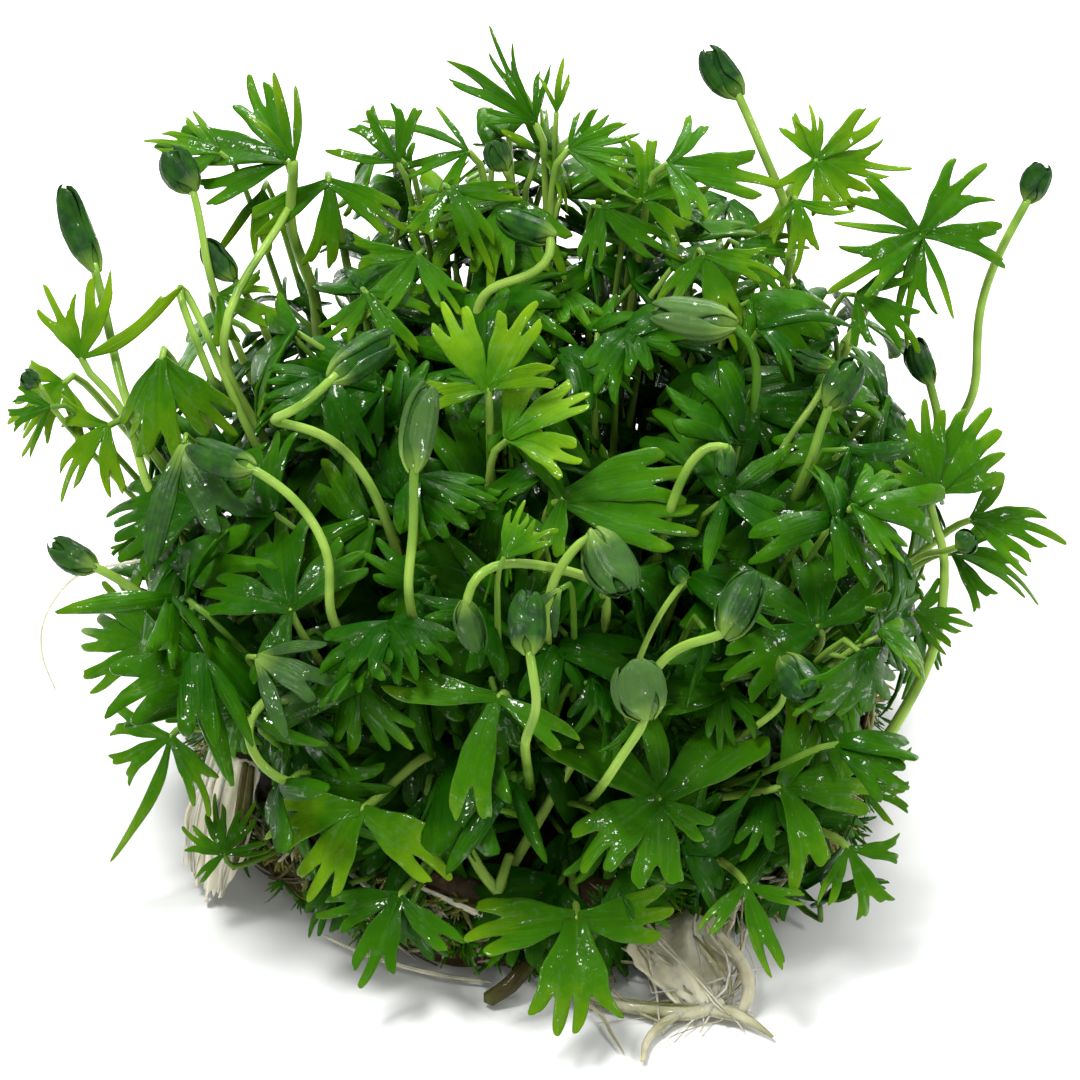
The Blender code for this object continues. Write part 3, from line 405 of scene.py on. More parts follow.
# Rows of a lobe from its base to its notches: share of the way there, and the share of the full width
LOBE_ROWS = ((0.0, 0.34), (0.25, 0.44), (0.5, 0.74), (0.76, 1.02), (1.0, 1.0))
COARSE_ROWS = ((0.0, 0.36), (0.5, 0.78), (1.0, 1.0))
PROBE_ROWS = ((0.0, 0.3), (0.5, 0.7), (1.5, 0.9))
# Steps of a finger beyond its notch: share of its reach, and how much narrower it gets
FINE_STEPS = ((0.36, 0.92), (0.32, 0.88), (0.22, 0.7), (0.1, 0.5))
COARSE_STEPS = ((0.5, 0.8), (0.36, 0.62), (0.14, 0.3))
# Width and slant of the outer fingers, by the number of fingers
LOBE_KINDS = {1: (0.22, 0.0), 2: (0.37, 0.42), 3: (0.46, 0.42), 4: (0.54, 0.46)}
# How a blade is cut: the share of the usual width, where the notches are, and how far the side notches drop
CUTS = {"broad": (1.0, 0.62, 0.12), "plain": (0.86, 0.57, 0.17), "slender": (0.68, 0.5, 0.22), "deep": (0.6, 0.43, 0.26)}
VARIANTS = 2
LOBE_THICKNESS = 0.032
WIDEST_ROOM = 40
# How far towards the camera a piece is kept in view
SIGHT = 9.0
STALK_SIGHT = 14.0

Part = namedtuple("Part", "points faces")


def taken_apart(obj):
    """The points and faces of a finished template, whose object is then removed."""
    mesh = obj.data
    points = np.zeros(len(mesh.vertices) * 3)
    mesh.vertices.foreach_get("co", points)
    faces = [tuple(face.vertices) for face in mesh.polygons]
    bpy.data.objects.remove(obj)
    bpy.data.meshes.remove(mesh)
    return Part(points.reshape(-1, 3), faces)


def model_lobe(fingers, cut, rows, steps, columns, levels, chance):
    """One lobe of a leaf, a unit long, from y 0 at its base to y 1 at its middle finger's end."""
    narrowness, notch, drop = CUTS[cut]
    width, spread = LOBE_KINDS[fingers]
    width *= narrowness
    deselect()
    bpy.ops.mesh.primitive_grid_add(x_subdivisions=columns * fingers, y_subdivisions=len(rows) - 1, size=1)
    obj = bpy.context.object
    bpy.ops.object.mode_set(mode="EDIT")
    count = len(rows) - 1
    for j in range(count, -1, -1):
        along, share = rows[j]
        level = j / count - 0.5
        pick(obj, lambda co: abs(co.y - level) < 0.01)
        bpy.ops.transform.resize(value=(share * width, 1, 1), center_override=(0, 0, 0))
        bpy.ops.transform.translate(value=(0, along * notch - level + 2, 0))
    bpy.ops.mesh.select_all(action="SELECT")
    bpy.ops.transform.translate(value=(0, -2, 0))
    for i in range(fingers if steps else 0):
        share = (2 * i + 1) / fingers - 1
        low, high = (2 * i / fingers - 1) * width / 2, (2 * (i + 1) / fingers - 1) * width / 2
        pick(obj, lambda co: abs(co.y - notch) < 0.005 and low - 0.001 < co.x < high + 0.001)
        slant = spread * share + chance.uniform(-0.1, 0.1)
        reach = (1 - notch) * (1 - 0.15 * abs(share)) * chance.uniform(0.82, 1.04)
        bend = chance.uniform(-0.16, 0.16)
        centre = Vector(((low + high) / 2, notch, 0))
        for part, narrow in steps:
            step = Vector((math.sin(slant), math.cos(slant), 0)) * reach * part
            slant += bend
            centre = centre + step
            bpy.ops.mesh.extrude_region_move(TRANSFORM_OT_translate={"value": step})
            bpy.ops.transform.resize(value=(narrow, narrow, 1), center_override=centre)
    bpy.ops.object.mode_set(mode="OBJECT")
    if steps:
        apply_modifier(obj, "SOLIDIFY", thickness=LOBE_THICKNESS, offset=0)
    if levels:
        apply_modifier(obj, "SUBSURF", levels=levels, render_levels=levels)
    part = taken_apart(obj)
    x, y, _ = part.points.T
    part.points[:, 1] -= drop * np.clip((2 * x / width) ** 2, 0, 1) * np.clip(y, 0, 1) ** 2
    part.points[:, 1] += drop / fingers**2 * np.clip(y, 0, 1) ** 2
    return part


def model_lobes(rows, steps, columns, levels):
    """Lobes by their number of fingers, cut and variant."""
    chance = np.random.default_rng(5)
    return {
        (fingers, cut, variant): model_lobe(fingers, cut, rows, steps, columns, levels, chance)
        for cut in CUTS
        for fingers in LOBE_KINDS
        for variant in range(VARIANTS)
    }


def model_bud():
    """A ball of unit radius with its poles on z, which every folded young leaf is drawn out of."""
    deselect()
    bpy.ops.mesh.primitive_uv_sphere_add(segments=24, ring_count=16, radius=1)
    return taken_apart(bpy.context.object)


def model_tube(sides, rings):
    """A tube with rounded ends, of unit radius and from z 0 to z 1, that is bent along every stalk and root."""
    deselect()
    bpy.ops.mesh.primitive_cylinder_add(vertices=sides, radius=1, depth=1, end_fill_type="TRIFAN", location=(0, 0, 0.5))
    obj = bpy.context.object
    bpy.ops.object.mode_set(mode="EDIT")
    bpy.ops.mesh.select_all(action="SELECT")
    for i in range(1, rings):
        bpy.ops.mesh.select_all(action="SELECT")
        bpy.ops.mesh.bisect(plane_co=(0, 0, i / rings), plane_no=(0, 0, 1))
    bpy.ops.object.mode_set(mode="OBJECT")
    obj.data.transform(obj.matrix_world)
    obj.matrix_world.identity()
    return taken_apart(obj)


def seen_point(pixel, height):
    """The point at this height that the camera sees at this pixel."""
    across = (pixel[0] - MIDDLE_PIXEL[0]) * PIXEL
    up = (MIDDLE_PIXEL[1] - pixel[1]) * PIXEL
    back = (up - height * UP.z) / UP.y
    return Vector((across, back, height))


def pixel_of(spot):
    """The pixel at which the camera sees a point."""
    return MIDDLE_PIXEL[0] + spot.x / PIXEL, MIDDLE_PIXEL[1] - spot.dot(UP) / PIXEL


def blade_axes(turn, lean):
    """Side, middle lobe and face directions of a blade."""
    face = (TOWARD + RIGHT * lean[0] + UP * lean[1]).normalized()
    angle = math.radians(turn)
    wanted = RIGHT * math.cos(angle) + UP * math.sin(angle)
    middle = (wanted - TOWARD * (wanted.dot(face) / TOWARD.dot(face))).normalized()
    return middle.cross(face), middle, face


def rear_axes(bearing, tilt):
    """Axes of a blade behind the clump: middle lobe outward and down, face outward and up."""
    a, t = math.radians(bearing), math.radians(tilt)
    out = Vector((math.cos(a), math.sin(a), 0))
    face = out * math.sin(t) + Vector((0, 0, math.cos(t)))
    middle = out * math.cos(t) - Vector((0, 0, math.sin(t)))
    return middle.cross(face), middle, face


def smooth_path(points, count, softness=6):
    """count points, evenly spaced, on a smooth curve through these ones."""
    knots = np.array([points[0] * 2 - points[1], *points, points[-1] * 2 - points[-2]])
    spans = len(points) - 1
    place = np.linspace(0, spans, 40 * spans + 1)
    k = np.minimum(place.astype(int), spans - 1)
    t = (place - k)[:, None]
    a, b, c, d = knots[k], knots[k + 1], knots[k + 2], knots[k + 3]
    curve = (b * 2 + (c - a) * t + (a * 2 - b * 5 + c * 4 - d) * t**2 + (b * 3 - a - c * 3 + d) * t**3) / 2
    for extra in (softness * 8, 0):
        steps = np.linalg.norm(np.diff(curve, axis=0), axis=1)
        gone = np.concatenate([[0], np.cumsum(steps)])
        even = np.linspace(0, gone[-1], 120 if extra else count)
        curve = np.stack([np.interp(even, gone, curve[:, axis]) for axis in range(3)], axis=1)
        for _ in range(extra):
            curve[1:-1] = (curve[:-2] + curve[1:-1] * 2 + curve[2:]) / 4
    return curve


class Growth:
    """Points, faces and point values of a piece that is being grown from copies of templates."""

    def __init__(self):
        self.points, self.faces, self.slots = [], [], []
        self.values = {"along": [], "edge": [], "tint": [], "across": []}
        self.count = 0

    def add(self, points, faces, slot, along, edge, tint, across):
        self.points.append(points)
        start = self.count
        self.faces += [tuple(i + start for i in face) for face in faces]
        self.slots += [slot] * len(faces)
        for key, value in (("along", along), ("edge", edge), ("tint", tint), ("across", across)):
            self.values[key].append(np.broadcast_to(value, (len(points),)))
        self.count += len(points)


def make_piece(name, growth, materials, stands_for=()):
    """Turns what has grown into one object in metres, which rides on the clump."""
    mesh = bpy.data.meshes.new(name)
    mesh.from_pydata(np.concatenate(growth.points) * MM, [], growth.faces)
    mesh.polygons.foreach_set("material_index", growth.slots)
    mesh.shade_smooth()
    for key, parts in growth.values.items():
        mesh.attributes.new(key, "FLOAT", "POINT").data.foreach_set("value", np.concatenate(parts))
    for material in materials:
        mesh.materials.append(material)
    obj = bpy.data.objects.new(name, mesh)
    bpy.context.scene.collection.objects.link(obj)
    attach(obj, "root")
    if stands_for:
        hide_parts(*stands_for)
    return obj


def bend_tube(growth, tube, path, radii, slot, tint, start_side=Vector((0.31, 0.17, 0.9))):
    """Adds a copy of the tube along a path, with radii spread evenly along it."""
    count = len(path)
    points = path
    ahead = np.gradient(points, axis=0)
    ahead /= np.linalg.norm(ahead, axis=1, keepdims=True)
    side = np.array(start_side)
    sides = np.zeros((count, 3))
    for i in range(count):
        side = side - ahead[i] * (side @ ahead[i])
        side /= np.linalg.norm(side)
        sides[i] = side
    others = np.cross(ahead, sides)
    place = tube.points[:, 2] * (count - 1)
    low = np.clip(place.astype(int), 0, count - 2)
    share = (place - low)[:, None]

    def between(rows):
        return rows[low] * (1 - share) + rows[low + 1] * share

    thick = np.interp(tube.points[:, 2], np.linspace(0, 1, len(radii)), radii)[:, None]
    centre = between(points)
    placed = centre + (between(sides) * tube.points[:, :1] + between(others) * tube.points[:, 1:2]) * thick
    ends = (np.abs(tube.points[:, 0]) + np.abs(tube.points[:, 1]) < 0.01)[:, None]
    outward = np.where(tube.points[:, 2:3] > 0.5, 1.0, -1.0)
    placed = placed + ends * outward * between(ahead) * thick * 0.6
    across = np.arctan2(tube.points[:, 1], tube.points[:, 0]) / math.pi
    growth.add(placed, tube.faces, slot, tube.points[:, 2], 0.0, tint, across)


# One lobe of a blade as it grew: where it points, and how it bends out of its plane
Lobe = namedtuple("Lobe", "angle length kind room breadth fold curl rise twist sway wave phase")


def grow_lobes(rows, cut, chance, wild=1.0, breadth=1.0):
    """The lobes of one blade, each bent in its own way."""
    angles = [row[0] for row in rows]
    lobes = []
    for angle, length, fingers in rows:
        room = min([abs(angle - other) / 2 for other in angles if other != angle] + [WIDEST_ROOM])
        fold, curl, rise = chance.uniform(0.02, 0.3), chance.uniform(-0.35, 0.25), chance.normal(0, 0.07)
        twist, sway = chance.normal(0, 0.28), chance.normal(0, 0.12)
        wave, phase = chance.uniform(0.004, 0.016), chance.uniform(0, 6.3)
        bends = [value * wild for value in (fold, curl, rise, twist, sway, wave)]
        kind = (fingers, cut, int(chance.integers(VARIANTS)))
        lobes.append(Lobe(angle, length, kind, room, breadth, *bends, phase))
    return lobes


def bent_lobe(template, lobe, span, hub, axes, cup, droop):
    """Points of a lobe template as it is bent and turned into its place round the hub."""
    side, middle, face = (np.array(axis) for axis in axes)
    x, y, z = template.points.T
    length = lobe.length
    wide = lobe.breadth * min(1.0, 0.8 * math.tan(math.radians(lobe.room)) / np.abs(x).max())
    flat_x = (x * wide + lobe.sway * y**2) * length
    flat_y = y * length
    lift = z * length + lobe.fold * np.abs(x) * length * np.clip(1.1 - y, 0, 1)
    lift += (lobe.curl * np.clip(y - 0.45, 0, 1) ** 2 + lobe.rise * y + lobe.twist * x * wide * y) * length
    lift += lobe.wave * length * np.sin(9 * y + 14 * x + lobe.phase) * y
    a = math.radians(lobe.angle)
    across = -math.sin(a) * flat_y + math.cos(a) * flat_x
    along = math.cos(a) * flat_y + math.sin(a) * flat_x
    out = np.hypot(across, along) / span
    lift += span * (cup * out - droop * out**2)
    points = np.array(hub) + across[:, None] * side + along[:, None] * middle + lift[:, None] * face
    points[:, 2] = np.maximum(points[:, 2], 0.3 + z * length)
    return points


def add_blade(growth, templates, lobes, hub, axes, cup, droop, tint, slot=0):
    """Adds a blade: one bent copy of a lobe template for each lobe, from one hub."""
    span = max(lobe.length for lobe in lobes)
    for lobe in lobes:
        template = templates[lobe.kind]
        x, y, z = template.points.T
        rim = np.clip(1 - np.abs(z) / (0.9 * np.abs(z).max()), 0, 1)
        points = bent_lobe(template, lobe, span, hub, axes, cup, droop)
        growth.add(points, template.faces, slot, y, rim, tint, x / np.abs(x).max())


class Room:
    """The room that leaves have taken up, so that the next one is placed clear of them."""

    def __init__(self):
        self.lows, self.highs, self.trees = np.zeros((0, 3)), np.zeros((0, 3)), []

    def take(self, sheets):
        self.lows = np.vstack([self.lows, *(sheet[0] for sheet in sheets)])
        self.highs = np.vstack([self.highs, *(sheet[1] for sheet in sheets)])
        self.trees += [sheet[2] for sheet in sheets]

    def is_free(self, sheets):
        for low, high, tree in sheets:
            near = np.flatnonzero((low < self.highs).all(axis=1) & (self.lows < high).all(axis=1))
            if any(tree.overlap(self.trees[k]) for k in near):
                return False
        return True


def sheet_of(points, faces):
    """Lowest and highest corner of a sheet, and its search tree."""
    return points.min(axis=0), points.max(axis=0), BVHTree.FromPolygons(points.tolist(), faces)


def claimed_sheets(lobes, hub, axes, cup, droop):
    """The sheet that each lobe of a blade takes up."""
    span = max(lobe.length for lobe in lobes)
    sheets = []
    for lobe in lobes:
        probe = TEMPLATES["probe"][lobe.kind]
        sheets.append(sheet_of(bent_lobe(probe, lobe, span, hub, axes, cup, droop), probe.faces))
    return sheets


def line_of_sight(path, start=0.7, reach=SIGHT):
    """A sheet from a path towards the camera, which keeps later leaves from hiding it."""
    path = np.array(path)
    count = len(path)
    toward = np.array(TOWARD)
    points = np.concatenate([path + toward * start, path + toward * reach])
    return sheet_of(points, [(i, i + 1, i + 1 + count, i + count) for i in range(count - 1)])


def lobe_sights(lobes, hub, axes):
    """Lines of sight that keep the middles of a blade's lobes in view."""
    sights = []
    for lobe in lobes:
        a = math.radians(lobe.angle)
        way = axes[1] * math.cos(a) - axes[0] * math.sin(a)
        sights.append(line_of_sight([hub + way * lobe.length * share for share in (0.1, 0.4, 0.7)], 1.5))
    return sights


def foot_below(start, spread=0.42):
    """Where a stalk from start comes out of the root pad."""
    return Vector((start.x * spread, start.y * spread, PAD_HEIGHT - 1.5))


def add_leaf_stalk(growth, tube, hub, middle, face, via, tint, rings, radius=STALK_RADIUS):
    """Adds the stalk of a leaf, from the root pad up to the hub."""
    under = hub - face * 1.6 - middle * 1.2
    start = via[-1] if via else hub - face * 3.0 - middle * 2.5
    foot = foot_below(start)
    bow = start * 0.45 + foot * 0.55 + Vector((start.x, start.y, 0)).normalized() * 2.0
    under.z = max(under.z, 2 * radius)
    path = smooth_path([foot, bow, *reversed(via), under, hub - face * 0.1], rings)
    bend_tube(growth, tube, path, (radius * 1.25, radius, radius, radius * 0.85, radius * 0.7), 1, tint)


def node_of(tree, kind, **inputs):
    """A shader node with its inputs set: a value, or the socket of another node."""
    node = tree.nodes.new(kind)
    for key, value in inputs.items():
        socket = node.inputs[key.replace("_", " ")] if not key.startswith("i") or not key[1:].isdigit() else node.inputs[int(key[1:])]
        if isinstance(value, bpy.types.NodeSocket):
            tree.links.new(value, socket)
        else:
            socket.default_value = value
    return node


def attribute(tree, name):
    node = tree.nodes.new("ShaderNodeAttribute")
    node.attribute_name = name
    return node.outputs["Fac"]


def blend_colours(tree, share, one, other, kind="MIX"):
    node = tree.nodes.new("ShaderNodeMix")
    node.data_type = "RGBA"
    node.blend_type = kind
    for socket, value in ((node.inputs["Factor"], share), (node.inputs["A"], one), (node.inputs["B"], other)):
        if isinstance(value, bpy.types.NodeSocket):
            tree.links.new(value, socket)
        elif hasattr(value, "__len__"):
            socket.default_value = (*value[:3], 1)
        else:
            socket.default_value = value
    return node.outputs["Result"]


def figure(tree, operation, one, other=0.0, third=0.0, clamp=False):
    node = tree.nodes.new("ShaderNodeMath")
    node.operation = operation
    node.use_clamp = clamp
    for socket, value in zip(node.inputs, (one, other, third)):
        if isinstance(value, bpy.types.NodeSocket):
            tree.links.new(value, socket)
        else:
            socket.default_value = value
    return node.outputs[0]


def spread_over(tree, value, low, high, to_low=0.0, to_high=1.0):
    node = tree.nodes.new("ShaderNodeMapRange")
    for socket, item in zip(node.inputs, (value, low, high, to_low, to_high)):
        if isinstance(item, bpy.types.NodeSocket):
            tree.links.new(item, socket)
        else:
            socket.default_value = item
    return node.outputs[0]


def mottle(tree, scale, detail=3.0, roughness=0.55, stretch=None):
    """Noise in the object's own space, with about scale blotches to the metre."""
    place = tree.nodes.new("ShaderNodeTexCoord").outputs["Object"]
    if stretch:
        mapping = tree.nodes.new("ShaderNodeMapping")
        mapping.inputs["Scale"].default_value = stretch
        tree.links.new(place, mapping.inputs["Vector"])
        place = mapping.outputs["Vector"]
    noise = tree.nodes.new("ShaderNodeTexNoise")
    tree.links.new(place, noise.inputs["Vector"])
    noise.inputs["Scale"].default_value = scale
    noise.inputs["Detail"].default_value = detail
    noise.inputs["Roughness"].default_value = roughness
    return noise.outputs["Fac"]


def new_material(name, roughness, coat=0.0, flesh=0.0, flesh_scale=0.0006):
    material = bpy.data.materials.new(name)
    material.use_nodes = True
    tree = material.node_tree
    shader = tree.nodes["Principled BSDF"]
    shader.inputs["Roughness"].default_value = roughness
    shader.inputs["Coat Weight"].default_value = coat
    shader.inputs["Coat Roughness"].default_value = 0.05
    shader.inputs["Specular IOR Level"].default_value = 0.05
    shader.inputs["Subsurface Weight"].default_value = flesh
    shader.inputs["Subsurface Radius"].default_value = (0.6, 1.0, 0.2)
    shader.inputs["Subsurface Scale"].default_value = flesh_scale
    return material, tree, shader


def raise_bumps(tree, shader, height, distance, strength=1.0, wet_distance=0.0002):
    """Bumps under the gloss, and the larger ones of the water film, which break its reflections into specks."""
    for name, rise, reach, force in (
        ("Normal", height, distance, strength),
        ("Coat Normal", mottle(tree, 900, 2.0), wet_distance, 1.0),
    ):
        bump = tree.nodes.new("ShaderNodeBump")
        bump.inputs["Distance"].default_value = reach
        bump.inputs["Strength"].default_value = force
        tree.links.new(rise, bump.inputs["Height"])
        tree.links.new(bump.outputs["Normal"], shader.inputs[name])


def glints(tree, scale=1400, most=0.85):
    """Weight of the water film: small patches of it, and hardly any between them."""
    return spread_over(tree, mottle(tree, scale, 2.0), 0.6, 0.67, 0.02, most)


def streaks(tree, along, across, tint):
    """Streaks that run along each lobe, different on every leaf."""
    place = tree.nodes.new("ShaderNodeCombineXYZ")
    for socket, value, scale in (("X", across, 3.2), ("Y", along, 1.3), ("Z", tint, 60.0)):
        tree.links.new(figure(tree, "MULTIPLY", value, scale), place.inputs[socket])
    noise = tree.nodes.new("ShaderNodeTexNoise")
    tree.links.new(place.outputs["Vector"], noise.inputs["Vector"])
    noise.inputs["Scale"].default_value = 1.6
    noise.inputs["Detail"].default_value = 2.0
    return noise.outputs["Fac"]


def blade_material(settings):
    """Wet leaf: darker at its base, paler at its finger ends and margin, faintly veined along each lobe."""
    material, tree, shader = new_material("leaf_blade", 0.3)
    tint, along, edge, across = (attribute(tree, key) for key in ("tint", "along", "edge", "across"))
    cloud = mottle(tree, 420)
    # The tint holds each leaf's age and the painted light and shade of its place; mottling and the way along the lobe
    # are added to it
    shade = figure(tree, "ADD", tint, figure(tree, "MULTIPLY", figure(tree, "SUBTRACT", cloud, 0.5), 0.5))
    shade = figure(tree, "ADD", shade, spread_over(tree, along, 0.1, 1.0, -0.25, 0.3), clamp=True)
    low = spread_over(tree, shade, 0.0, 0.5)
    high = spread_over(tree, shade, 0.5, 1.0)
    colour = blend_colours(tree, low, settings.dark, settings.mid)
    colour = blend_colours(tree, high, colour, settings.bright)
    rim = figure(tree, "MULTIPLY", figure(tree, "POWER", edge, 2.0), 0.42)
    colour = blend_colours(tree, rim, colour, settings.margin)
    rib = figure(tree, "SUBTRACT", 1.0, figure(tree, "MULTIPLY", figure(tree, "ABSOLUTE", across), 9.0), clamp=True)
    colour = blend_colours(tree, figure(tree, "MULTIPLY", rib, 0.05), colour, settings.bright)
    tree.links.new(colour, shader.inputs["Base Color"])
    streak = streaks(tree, along, across, tint)
    shine = figure(tree, "ADD", glints(tree, 1200, 0.7), spread_over(tree, streak, 0.57, 0.67, 0.0, 0.55), clamp=True)
    tree.links.new(shine, shader.inputs["Coat Weight"])
    shader.inputs["Specular Tint"].default_value = (0.83, 1.0, 0.48, 1.0)
    rough = spread_over(tree, mottle(tree, 900, 2.0), 0.3, 0.7, 0.32, 0.5)
    tree.links.new(rough, shader.inputs["Roughness"])
    swells = figure(tree, "ADD", figure(tree, "MULTIPLY", mottle(tree, 380, 2.0), 3.0),
                    figure(tree, "MULTIPLY", streak, 4.0))
    height = figure(tree, "ADD", swells, mottle(tree, 2400, 2.0))
    height = figure(tree, "SUBTRACT", height, figure(tree, "MULTIPLY", rib, 0.5))
    raise_bumps(tree, shader, height, 0.00006, 0.6)
    return material


def folded_material(settings):
    """Folded young leaf: dark green, with a painted silvery sheen as strong as its tint, and painted shade on its core
    where it shows between the lobes.
    """
    material, tree, shader = new_material("folded_leaf", 0.3)
    tint, along, edge, across = (attribute(tree, key) for key in ("tint", "along", "edge", "across"))
    cloud = mottle(tree, 700)
    colour = blend_colours(tree, spread_over(tree, cloud, 0.4, 0.9), settings.folded, settings.mid)
    # Painted sheen: the silver colour is laid over the whole leaf by its tint
    colour = blend_colours(tree, tint, colour, settings.silver)
    colour = blend_colours(tree, spread_over(tree, along, 0.3, 0.0, 0.0, 0.5), colour, settings.stalk)
    # Painted shade: the core of a folded leaf, whose edge value is CORE_SHADE, goes dark where it shows in the slits
    # between the lobes; the same mix darkens the margins of the silvery small leaves
    colour = blend_colours(tree, spread_over(tree, edge, 0.35, 0.9), colour, settings.dark)
    tree.links.new(colour, shader.inputs["Base Color"])
    tree.links.new(glints(tree, 1100), shader.inputs["Coat Weight"])
    tree.links.new(spread_over(tree, mottle(tree, 1200, 2.0), 0.3, 0.7, 0.2, 0.42), shader.inputs["Roughness"])
    creases = figure(tree, "SINE", figure(tree, "MULTIPLY", across, 18.0))
    height = figure(tree, "ADD", figure(tree, "MULTIPLY", creases, 0.3), mottle(tree, 1100, 2.0))
    raise_bumps(tree, shader, height, 0.0001, 0.8)
    return material


def stalk_material(settings):
    """Pale juicy stalk, with fine lengthwise ribs, greener near the blade."""
    material, tree, shader = new_material("leaf_stalk", 0.32, coat=0.25)
    tint, along, across = (attribute(tree, key) for key in ("tint", "along", "across"))
    cloud = mottle(tree, 260, 1.0)
    colour = blend_colours(tree, spread_over(tree, cloud, 0.45, 0.9), settings.stalk, settings.mid)
    # Stalks with a low tint go dark; for the crowd's stalks that tint is the painted light and shade of their leaf's
    # place
    colour = blend_colours(tree, spread_over(tree, tint, 0.5, 0.0, 0.0, 0.7), colour, settings.dark)
    colour = blend_colours(tree, spread_over(tree, along, 0.75, 1.0, 0.0, 0.35), colour, settings.mid)
    colour = blend_colours(tree, spread_over(tree, figure(tree, "ADD", along, figure(tree, "SUBTRACT", tint, 0.9)), 0.3, 0.75, 0.75, 0.0),
                           colour, settings.mid)
    tree.links.new(colour, shader.inputs["Base Color"])
    ribs = figure(tree, "SINE", figure(tree, "MULTIPLY", across, 22.0))
    height = figure(tree, "ADD", figure(tree, "MULTIPLY", ribs, 0.15), mottle(tree, 1500, 2.0))
    raise_bumps(tree, shader, height, 0.00005, 0.6)
    return material


def root_material(settings, name, paleness):
    """Wet roots from cream through green to brown, by each root's tint."""
    material, tree, shader = new_material(name, 0.38, coat=0.2, flesh=0.5, flesh_scale=0.001)
    shader.inputs["Subsurface Radius"].default_value = (1.0, 0.8, 0.5)
    tint = attribute(tree, "tint")
    shade = figure(tree, "ADD", tint, figure(tree, "MULTIPLY", figure(tree, "SUBTRACT", mottle(tree, 260), 0.5), 0.9))
    shade = figure(tree, "ADD", shade, paleness, clamp=True)
    colour = blend_colours(tree, spread_over(tree, shade, 0.0, 0.45), settings.old, settings.mossy)
    colour = blend_colours(tree, spread_over(tree, shade, 0.45, 1.0), colour, settings.pale)
    tree.links.new(colour, shader.inputs["Base Color"])
    ribs = figure(tree, "SINE", figure(tree, "MULTIPLY", attribute(tree, "across"), 16.0))
    height = figure(tree, "ADD", mottle(tree, 1800, 3.0), figure(tree, "MULTIPLY", ribs, 0.5))
    height = figure(tree, "ADD", height, figure(tree, "MULTIPLY", mottle(tree, 1500, 3.0, 0.6, (1, 1, 0.16)), 3.0))
    raise_bumps(tree, shader, height, 0.00008, 0.7)
    return material


TEMPLATES = {}
MATERIALS = {}
ROOM = Room()


def prepare():
    """Models the templates and materials that the pieces share, once."""
    if TEMPLATES:
        return
    TEMPLATES["fine"] = model_lobes(LOBE_ROWS, FINE_STEPS, 2, 1)
    TEMPLATES["coarse"] = model_lobes(COARSE_ROWS, COARSE_STEPS, 1, 0)
    TEMPLATES["probe"] = model_lobes(PROBE_ROWS, (), 1, 0)
    TEMPLATES["bud"] = model_bud()
    TEMPLATES["stalk"] = model_tube(8, 26)
    TEMPLATES["long_stalk"] = model_tube(10, 56)
    TEMPLATES["thin_stalk"] = model_tube(6, 12)
    TEMPLATES["root"] = model_tube(5, 14)
    TEMPLATES["thick_root"] = model_tube(10, 24)
    leaves, roots = bpy.context.scene.buttercup_leaves, bpy.context.scene.buttercup_roots
    MATERIALS["blade"] = blade_material(leaves)
    MATERIALS["folded"] = folded_material(leaves)
    MATERIALS["stalk"] = stalk_material(leaves)
    MATERIALS["root"] = root_material(roots, "pad_roots", 0.0)
    MATERIALS["pale_root"] = root_material(roots, "loose_roots", 0.35)


def leaf_shapes():
    """Name, hub, axes, lobes, cup, droop and stalk points of every opened leaf of the frame."""
    shapes = []
    for row in LEAVES:
        via = [seen_point(*spot) for spot in row.via]
        axes = blade_axes(row.turn, row.lean)
        shapes.append((row.name, seen_point(row.seen, row.height), axes, row.lobes, row.cup, row.droop, via))
    for name, bearing, out, height, tilt, length in BACK_LEAVES:
        a = math.radians(bearing)
        hub = Vector((math.cos(a) * out, math.sin(a) * out, height))
        lobes = [(angle, share * length, fingers) for angle, share, fingers in BACK_LOBES]
        shapes.append((name, hub, rear_axes(bearing, tilt), lobes, 0.15, 0.35, []))
    return shapes


class BUTTERCUP_OT_opened_leaves(bpy.types.Operator):
    """Models every opened leaf that has a node in the frame, with its stalk"""

    bl_idname = "buttercup.opened_leaves"
    bl_label = "Opened leaves"

    def execute(self, context):
        prepare()
        chance = np.random.default_rng(context.scene.buttercup_leaves.seed)
        for name, hub, axes, rows, cup, droop, via in leaf_shapes():
            growth = Growth()
            tint = BRIGHTNESS.get(name, USUAL_BRIGHTNESS)
            lobes = grow_lobes(FINE_LOBES.get(name, rows), CUT_OF.get(name, "broad"), chance, 1.3,
                               BREADTHS.get(name, USUAL_BREADTH))
            add_blade(growth, TEMPLATES["fine"], lobes, hub, axes, cup, droop, tint)
            if name in ROUTES:
                via = [seen_point(*spot) for spot in ROUTES[name]]
            radius = THICK_STALKS.get(name, STALK_RADIUS)
            # Painted light: the stalks of the opened leaves are kept pale, 0.65 at the least, which lightens stalks
            # that lie in shade
            paleness = STALK_TINTS.get(name, 0.65 + 0.35 * tint)
            add_leaf_stalk(growth, TEMPLATES["stalk"], hub, axes[1], axes[2], via, paleness, 60, radius)
            if via:
                ROOM.take([line_of_sight([hub, *via], reach=STALK_SIGHT)])
            make_piece(name + "_grown", growth, (MATERIALS["blade"], MATERIALS["stalk"]), [name])
            ROOM.take(claimed_sheets(lobes, hub, axes, cup, droop) + lobe_sights(lobes, hub, axes))
        return {"FINISHED"}


# Radius of a folded young leaf from its neck to its tip
BUD_PROFILE = (
    (0.0, 0.2), (0.06, 0.36), (0.16, 0.7), (0.34, 0.95), (0.55, 1.0), (0.74, 0.9), (0.88, 0.64), (0.96, 0.34), (1.0, 0.0),
)
BUD_FLATNESS = 0.86
CORE_SHARE = 0.93
WRAP_SHARE = 1.3
BUD_CLOSING = 1.25
BUD_SLIMNESS = 0.88
# Painted shade: the core of a folded leaf gets this edge value, which the folded material turns dark where the core
# shows in the slits between the lobes
CORE_SHADE = 0.55


